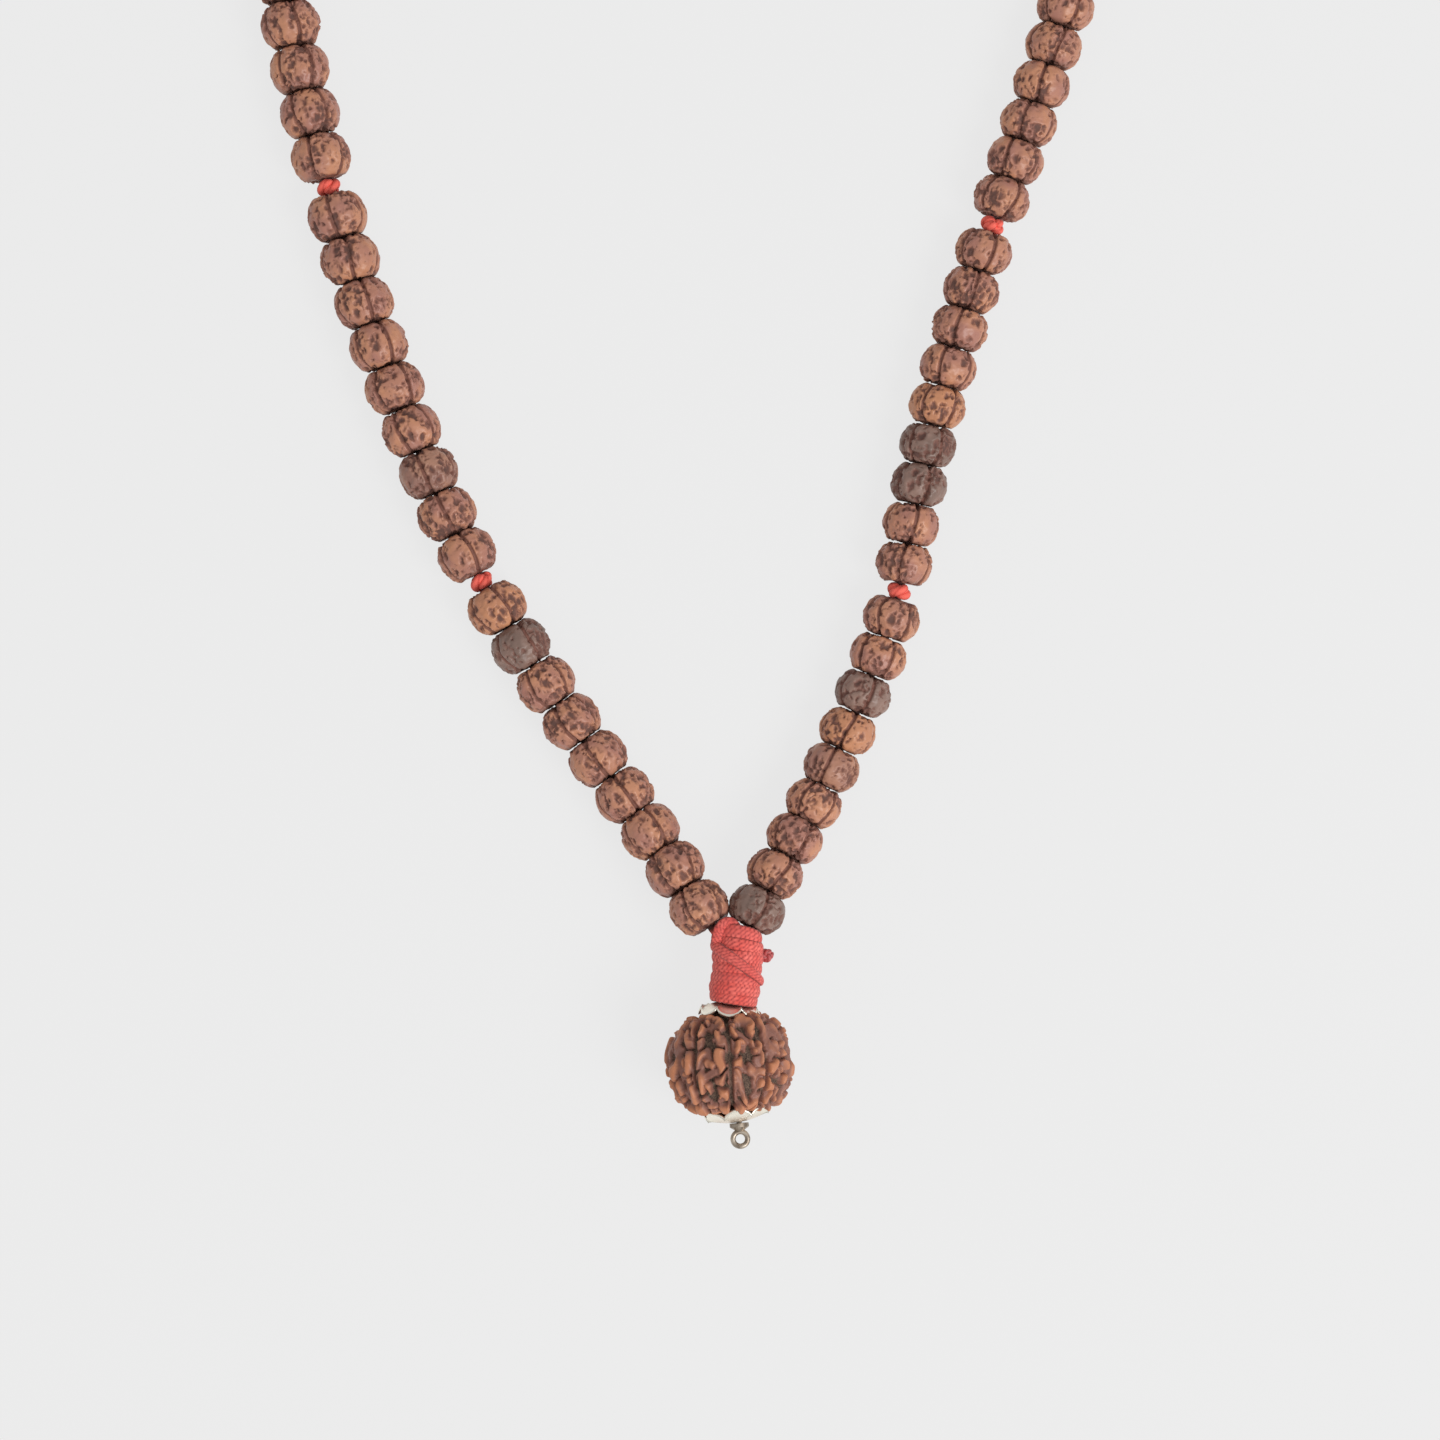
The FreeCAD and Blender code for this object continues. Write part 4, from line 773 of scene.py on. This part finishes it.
# both edges are painted dark: painted shade in the creases between turns
side = add(tree, MATH, {0: side}, operation="ABSOLUTE")
side = add(tree, SHIFT, {"Value": side, 1: 0.7, 2: 0.96, 3: 0, 4: 0.85})
colour = add(tree, BLEND, {"Factor": side, "A": colour, "B": linear("#86302E")}, data_type="RGBA")
skin = add(tree, "ShaderNodeBsdfPrincipled", {
    "Base Color": colour, "Roughness": 0.8, "Sheen Weight": 0.25, "Sheen Roughness": 0.4,
})
add(tree, "ShaderNodeOutputMaterial", {"Surface": skin})

neck = grown("bound_neck", path_mesh("winding", points, outwards, widths), braid_layer,
             Finish=bound_thread)

# the thread's first loop stands up between the two arms' lowest seeds
# its line, right of the pivot and up the neck, and its height over the pivot, mm
LOOP = [(-2.9, 0.6), (-2.9, 2.4), (-2.3, 3.7), (-1.3, 4.3), (-0.3, 3.8), (0.3, 2.6), (0.4, 0.8)]
LOOP_RISE, LOOP_ACROSS = 2.2, 1.6
loop_line = bpy.data.curves.new("loop_line", "CURVE")
loop_line.dimensions = "3D"
spline = loop_line.splines.new("NURBS")
spline.points.add(len(LOOP) - 1)
for knot, (side, height) in zip(spline.points, LOOP):
    knot.co = (*(pivot + (neck_right * side + neck_axis * height + up * LOOP_RISE) * MM), 1)
spline.order_u, spline.use_endpoint_u = 4, True
loop_obj = bpy.data.objects.new("loop_line", loop_line)
loop_points = [v.co.copy() for v in bpy.data.meshes.new_from_object(loop_obj).vertices]
bpy.data.objects.remove(loop_obj)
loop = grown("thread_loop", path_mesh("loop", loop_points, [up] * len(loop_points)), braid_layer,
             Steps=160, Across=LOOP_ACROSS, Finish=bound_thread)

# under the turns, the bound core, as the height and radius of its rings, mm
CORE_RADIUS, CORE_SIDES = 2.9, 40
CORE = [(-6.5, 1.4), (-6.4, CORE_RADIUS), (1.5, CORE_RADIUS), (2.6, 2.0), (3.0, 0.9)]
core_points, core_faces = [], []
for height, radius in CORE:
    for k in range(CORE_SIDES):
        angle = 2 * math.pi * k / CORE_SIDES
        outward = neck_right * math.cos(angle) + up * math.sin(angle)
        core_points.append(pivot + (outward * radius + neck_axis * height) * MM)
for row in range(len(CORE) - 1):
    for k in range(CORE_SIDES):
        a, b = row * CORE_SIDES + k, row * CORE_SIDES + (k + 1) % CORE_SIDES
        core_faces.append((a, a + CORE_SIDES, b + CORE_SIDES, b))
core_faces.append(tuple(range(CORE_SIDES)))
core_faces.append(tuple(reversed(range(len(core_points) - CORE_SIDES, len(core_points)))))
core_mesh = bpy.data.meshes.new("neck_core")
core_mesh.from_pydata(core_points, [], core_faces)
core_mesh.materials.append(bound_thread)
core = new_object("neck_core", core_mesh)
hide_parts("thread_wrap")
for piece in (neck, core, loop):
    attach(piece, "pendant")

# ---------------------------------------------------------------------------
# Knots: overhand knots in the twisted cord, one after each nine seeds, and the
# small sealed one at the end of the winding.
# ---------------------------------------------------------------------------
KNOT_RING, KNOT_ROLL, KNOT_RISE = 0.84, 0.4, 0.54     # the knotted line, mm
KNOT_CORD = 1.15                                     # the cord drawn tight, mm


def twist(tree, given, along, turn, cosine, sine):
    """Three plies that wind round each other."""
    lays = add(tree, MATH, {0: along, 1: given["Lay"]}, operation="DIVIDE")
    plies = add(tree, MATH, {0: turn, 1: given["Plies"]}, operation="MULTIPLY")
    phase = add(tree, MATH, {0: plies, 1: 0.5 / math.pi, 2: lays}, operation="MULTIPLY_ADD")
    return ridges(tree, phase, 0.6)


twist_layer = cord_layer("lay a twisted cord", {"Steps": 110, "Sides": 14}, {
    "Across": 1.0, "Thick": 1.0, "Lay": 1.1, "Plies": 3.0, "Relief": 0.2,
}, twist)
knot_line, knot_out = [], []
KNOT_STEPS, KNOT_OVERLAP = 72, 1.05
for step in range(int(KNOT_OVERLAP * KNOT_STEPS)):
    t = 2 * math.pi * step / KNOT_STEPS
    ring = KNOT_RING + KNOT_ROLL * math.cos(3 * t)
    knot_line.append(Vector((
        ring * math.cos(2 * t), ring * math.sin(2 * t), KNOT_RISE * math.sin(3 * t))) * MM)
    knot_out.append(Vector((0, 0, 1)))

# Three-ply cotton, dyed red and drawn tight: matt, painted lighter along the crown of each ply
# and darker between plies, as painted light and shade.  Where seeds meet it is painted dark:
# painted shade from the seeds, with some oil stain.
knot_cotton, tree = new_material("twisted_red_cotton")
bump, stain_and_shade = (add(tree, "ShaderNodeAttribute", attribute_name=name).outputs["Fac"]
              for name in ("bump", "stain_and_shade"))
# painted light on the plies' crowns and painted shade between them
painted_crown_light = add(tree, SHIFT, {"Value": bump, 1: 0.2, 2: 0.7, 3: 0, 4: 1})
colour = add(tree, BLEND, {"Factor": painted_crown_light, "A": linear("#D24A3E"), "B": linear("#FF7060")},
             data_type="RGBA")
# painted dark where seeds meet: painted shade, with some oil stain
colour = add(tree, BLEND, {"Factor": stain_and_shade, "A": colour, "B": linear("#4A2A24")}, data_type="RGBA")
skin = add(tree, "ShaderNodeBsdfPrincipled", {
    "Base Color": colour, "Roughness": 0.75, "Sheen Weight": 0.2, "Sheen Roughness": 0.4,
})
add(tree, "ShaderNodeOutputMaterial", {"Surface": skin})

one_knot = grown("one_knot", path_mesh("knot_line", knot_line, knot_out), twist_layer,
                 Across=KNOT_CORD, Thick=KNOT_CORD, Finish=knot_cotton)


def repeat_tree():
    """A tree that sets one piece at every point, turned to the point's axis."""
    tree = bpy.data.node_groups.new("repeat at points", "GeometryNodeTree")
    new_ports(tree, "Points", {}, {"Scale": 1.0})
    tree.interface.new_socket("Piece", in_out="INPUT", socket_type="NodeSocketObject")
    given = tree.nodes["Group Input"].outputs
    piece = add(tree, "GeometryNodeObjectInfo", {"Object": given["Piece"]}).outputs["Geometry"]
    aligned = add(tree, "FunctionNodeAlignRotationToVector",
                  {"Vector": field(tree, "FLOAT_VECTOR", "axis")}, axis="Z")
    spin = add(tree, "FunctionNodeAxisAngleToRotation",
               {"Axis": (0, 0, 1), "Angle": field(tree, "FLOAT", "spin")})
    turned = add(tree, "FunctionNodeRotateRotation", {"Rotation": aligned, "Rotate By": spin},
                 rotation_space="LOCAL")
    copies = add(tree, "GeometryNodeInstanceOnPoints", {
        "Points": given["Points"], "Instance": piece, "Rotation": turned, "Scale": given["Scale"]})
    copies = add(tree, "GeometryNodeRealizeInstances", {"Geometry": copies})
    copies = add(tree, "GeometryNodeSetMaterial", {"Geometry": copies, "Material": given["Finish"]})
    add(tree, "NodeGroupOutput", {0: copies})
    return tree


KNOT_TURNED = 1.9                # each knot lies turned by this from the last, radians
repeater = repeat_tree()
places = []
for k, found in enumerate(islands("knots")):
    places.append({**found, "number": k, "spin": KNOT_TURNED * k, "tone": 0})
knots = grown("cord_knots", seed_points("knots", places), repeater, Piece=one_knot, Finish=knot_cotton)
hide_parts("knots")
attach(knots, "root")

END_SIZE, END_UP = 0.58, 0.7     # of the winding's end: share of a knot, and shift, mm
end_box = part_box("thread_end_knot")
end_middle = (end_box[0] + end_box[1]) / 2 + neck_axis * END_UP * MM
end_place = {"centre": end_middle, "axis": up, "number": 0, "spin": 0.4,
             "tone": 0, "diameter": 1, "length": 1}

# Cotton sealed with a flame: darker, fused and a little shiny.  Its raised parts are painted
# lighter and its hollows darker: painted light and painted shade.
sealed_end, tree = new_material("singed_cotton_end")
bump = add(tree, "ShaderNodeAttribute", attribute_name="bump").outputs["Fac"]
painted_crown_light = add(tree, SHIFT, {"Value": bump, 1: 0.2, 2: 0.8, 3: 0, 4: 1})
colour = add(tree, BLEND, {"Factor": painted_crown_light, "A": linear("#7E3634"), "B": linear("#C25C5C")},
             data_type="RGBA")
skin = add(tree, "ShaderNodeBsdfPrincipled", {"Base Color": colour, "Roughness": 0.5})
add(tree, "ShaderNodeOutputMaterial", {"Surface": skin})
end_knot = grown("thread_end", seed_points("thread_end", [end_place]), repeater,
                 Piece=one_knot, Scale=END_SIZE, Finish=sealed_end)
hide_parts("thread_end_knot")
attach(end_knot, "pendant")
bpy.data.objects.remove(one_knot)

# ---------------------------------------------------------------------------
# Caps: two petalled cups of thin pale silver, stamped, with a raised edge painted bright as light.
# They are threaded on the pin and sit a little askew on the guru seed's nodules.
# ---------------------------------------------------------------------------
CAP_WALL, CAP_DROP = 0.35, 1.9          # sheet, and crown to petal tips, mm
CAP_BELL = 2.6                          # how flat the crown is before it falls away
PETALS, PETAL_REACH, PETAL_DIP = 7, 0.45, 0.75  # tips beyond and below the notches, mm
CAP_HOLE, RIM_ROLL = 0.55, 0.14         # radius of the pin's hole, and the raised rim, mm
RIM_FROM = 0.86                         # where the rim starts, as a share of the way out
RINGS, ROUND = 18, PETALS * 20

# Thin stamped silver, once polished and now cloudy: broad soft reflections under a
# warm bloom of tarnish in 2 mm patches.  The rim is painted brighter than the middle:
# painted light on the rim and painted shade inward.
cap_silver, tree = new_material("stamped_pale_silver")
place = add(tree, "ShaderNodeTexCoord").outputs["Object"]
edge = add(tree, "ShaderNodeAttribute", attribute_name="edge").outputs["Fac"]
tarnish = add(tree, NOISE, {"Vector": place, "Scale": 500, "Detail": 3})
tarnish = add(tree, SHIFT, {"Value": tarnish, 1: 0.35, 2: 0.7, 3: 0, 4: 0.3})
# the rim painted brighter than the middle: painted light
painted_rim_light = add(tree, SHIFT, {"Value": edge, 1: 0.6, 2: 0.85, 3: 0, 4: 1})
colour = add(tree, BLEND, {"Factor": tarnish, "A": linear("#F6EADA"), "B": linear("#B8A696")},
             data_type="RGBA")
colour = add(tree, BLEND, {"Factor": painted_rim_light, "A": colour, "B": linear("#FFFAEC")}, data_type="RGBA")
skin = add(tree, "ShaderNodeBsdfPrincipled", {"Base Color": colour, "Metallic": 1, "Roughness": 0.38})
add(tree, "ShaderNodeOutputMaterial", {"Surface": skin})


def petal_cap(name, node, outward_axis, askew, nod, sunk):
    """A cup whose crown faces along the axis, turned askew and nodding to the front,
    on the place of the CAD cap or sunk a little from it."""
    low, high = span(node, outward_axis)
    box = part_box(node)
    tip = (box[1].x - box[0].x) / MM / 2
    notch = tip - PETAL_REACH
    middle = Vector(guru_spin["pos_m"])
    middle = middle + outward_axis * (high - sunk * MM - middle.dot(outward_axis))
    side = outward_axis.cross(up).normalized()
    turn = Matrix.Rotation(askew, 3, up) @ Matrix.Rotation(nod, 3, across)
    rows = []
    for face in (1, -1):
        for i in range(RINGS + 1):
            share = i / RINGS if face > 0 else 1 - i / RINGS
            row = []
            for k in range(ROUND):
                angle = 2 * math.pi * k / ROUND
                petal = abs(math.cos(PETALS * (angle - math.pi / 2) / 2)) ** 0.6
                rim = notch + (tip - notch) * petal
                radius = CAP_HOLE + (rim - CAP_HOLE) * share
                dip = PETAL_DIP * (petal - 1) * share ** 4
                bead = RIM_ROLL * max(0, (share - RIM_FROM) / (1 - RIM_FROM)) ** 2
                height = -CAP_DROP * (radius / tip) ** CAP_BELL - dip + bead * (face > 0)
                height -= CAP_WALL * (face < 0)
                spot = side * (radius * math.cos(angle)) + up * (radius * math.sin(angle))
                row.append((middle + turn @ (spot + outward_axis * height) * MM, share))
            rows.append(row)
    points = [spot for row in rows for spot, _ in row]
    faces = []
    for i in range(len(rows)):
        for k in range(ROUND):
            a, b = i * ROUND + k, i * ROUND + (k + 1) % ROUND
            c = (i + 1) % len(rows) * ROUND
            faces.append((a, b, c + (k + 1) % ROUND, c + k))
    mesh = bpy.data.meshes.new(name)
    mesh.from_pydata(points, [], faces)
    shares = [share for row in rows for _, share in row]
    mesh.attributes.new("edge", "FLOAT", "POINT").data.foreach_set("value", shares)
    mesh.polygons.foreach_set("use_smooth", [True] * len(faces))
    mesh.materials.append(cap_silver)
    cap = new_object(name, mesh)
    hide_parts(node)
    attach(cap, "guru")


petal_cap("neck_cap", "top_cap", pin_axis, askew=math.radians(-7), nod=math.radians(3), sunk=0.4)
petal_cap("eye_cap", "bottom_cap", -pin_axis, askew=math.radians(5), nod=0, sunk=0)

# ---------------------------------------------------------------------------
# Eye pin: one silver wire, darkened with wear, that runs through the guru seed;
# its collar holds the lower cap up and its hook holds the cord.
# ---------------------------------------------------------------------------
# Old silver wire: warm grey with tarnish, in patches of 1.5 mm, and rubbed to a dull
# gleam.
pin_silver, tree = new_material("worn_old_silver")
place = add(tree, "ShaderNodeTexCoord").outputs["Object"]
tarnish = add(tree, NOISE, {"Vector": place, "Scale": 700, "Detail": 3})
tarnish = add(tree, SHIFT, {"Value": tarnish, 1: 0.35, 2: 0.65, 3: 0, 4: 1})
colour = add(tree, BLEND, {"Factor": tarnish, "A": linear("#CDC0B0"), "B": linear("#8C7E70")},
             data_type="RGBA")
skin = add(tree, "ShaderNodeBsdfPrincipled", {"Base Color": colour, "Metallic": 1, "Roughness": 0.42})
add(tree, "ShaderNodeOutputMaterial", {"Surface": skin})
eye_pin = frame["nodes"]["eye_pin"]
eye_pin.data.materials.clear()
eye_pin.data.materials.append(pin_silver)

# ---------------------------------------------------------------------------
# Cord: three plies of red cotton through every seed and knot, turned round the
# hook at the neck.  Where seeds meet it is painted dark: painted shade from the seeds, with some oil
# stain.
# ---------------------------------------------------------------------------
CORD = 1.2                       # mm
BIGHT = 1.3                      # radius of the turn round the hook, mm
STAIN_SHADE_FROM, STAIN_SHADE_TO = 3.7, 4.4  # from a seed's middle, mm

route = [seed_centres[0]]
waiting = seed_centres[1:] + [place["centre"] for place in places]
while waiting:
    nearest = min(waiting, key=lambda spot: (spot - route[-1]).length)
    waiting.remove(nearest)
    route.append(nearest)
# from the right arm round under the hook to the left one
for degrees in range(10, -200, -10):
    angle = math.radians(degrees)
    route.append(pivot + Vector((math.cos(angle), math.sin(angle), 0)) * BIGHT * MM)
route.append(route[0])
upward = [Vector((0, 0, 1))] * len(route)
cord = grown("threaded_cord", path_mesh("cord_route", route, upward), twist_layer,
             Steps=4200, Sides=10, Across=CORD, Thick=CORD, Finish=knot_cotton)
spots = np.zeros(3 * len(cord.data.vertices))
cord.data.vertices.foreach_get("co", spots)
middles = np.array(seed_centres)
away = np.min([np.linalg.norm(spots.reshape(-1, 3) - middle, axis=1) for middle in middles], axis=0)
# near each seed the cord is painted dark: painted shade where the seeds cover it, with some oil stain
stain_and_shade = np.clip((STAIN_SHADE_TO - away / MM) / (STAIN_SHADE_TO - STAIN_SHADE_FROM), 0, 1)
cord.data.attributes.new("stain_and_shade", "FLOAT", "POINT").data.foreach_set("value", stain_and_shade)
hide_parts("string")
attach(cord, "root")
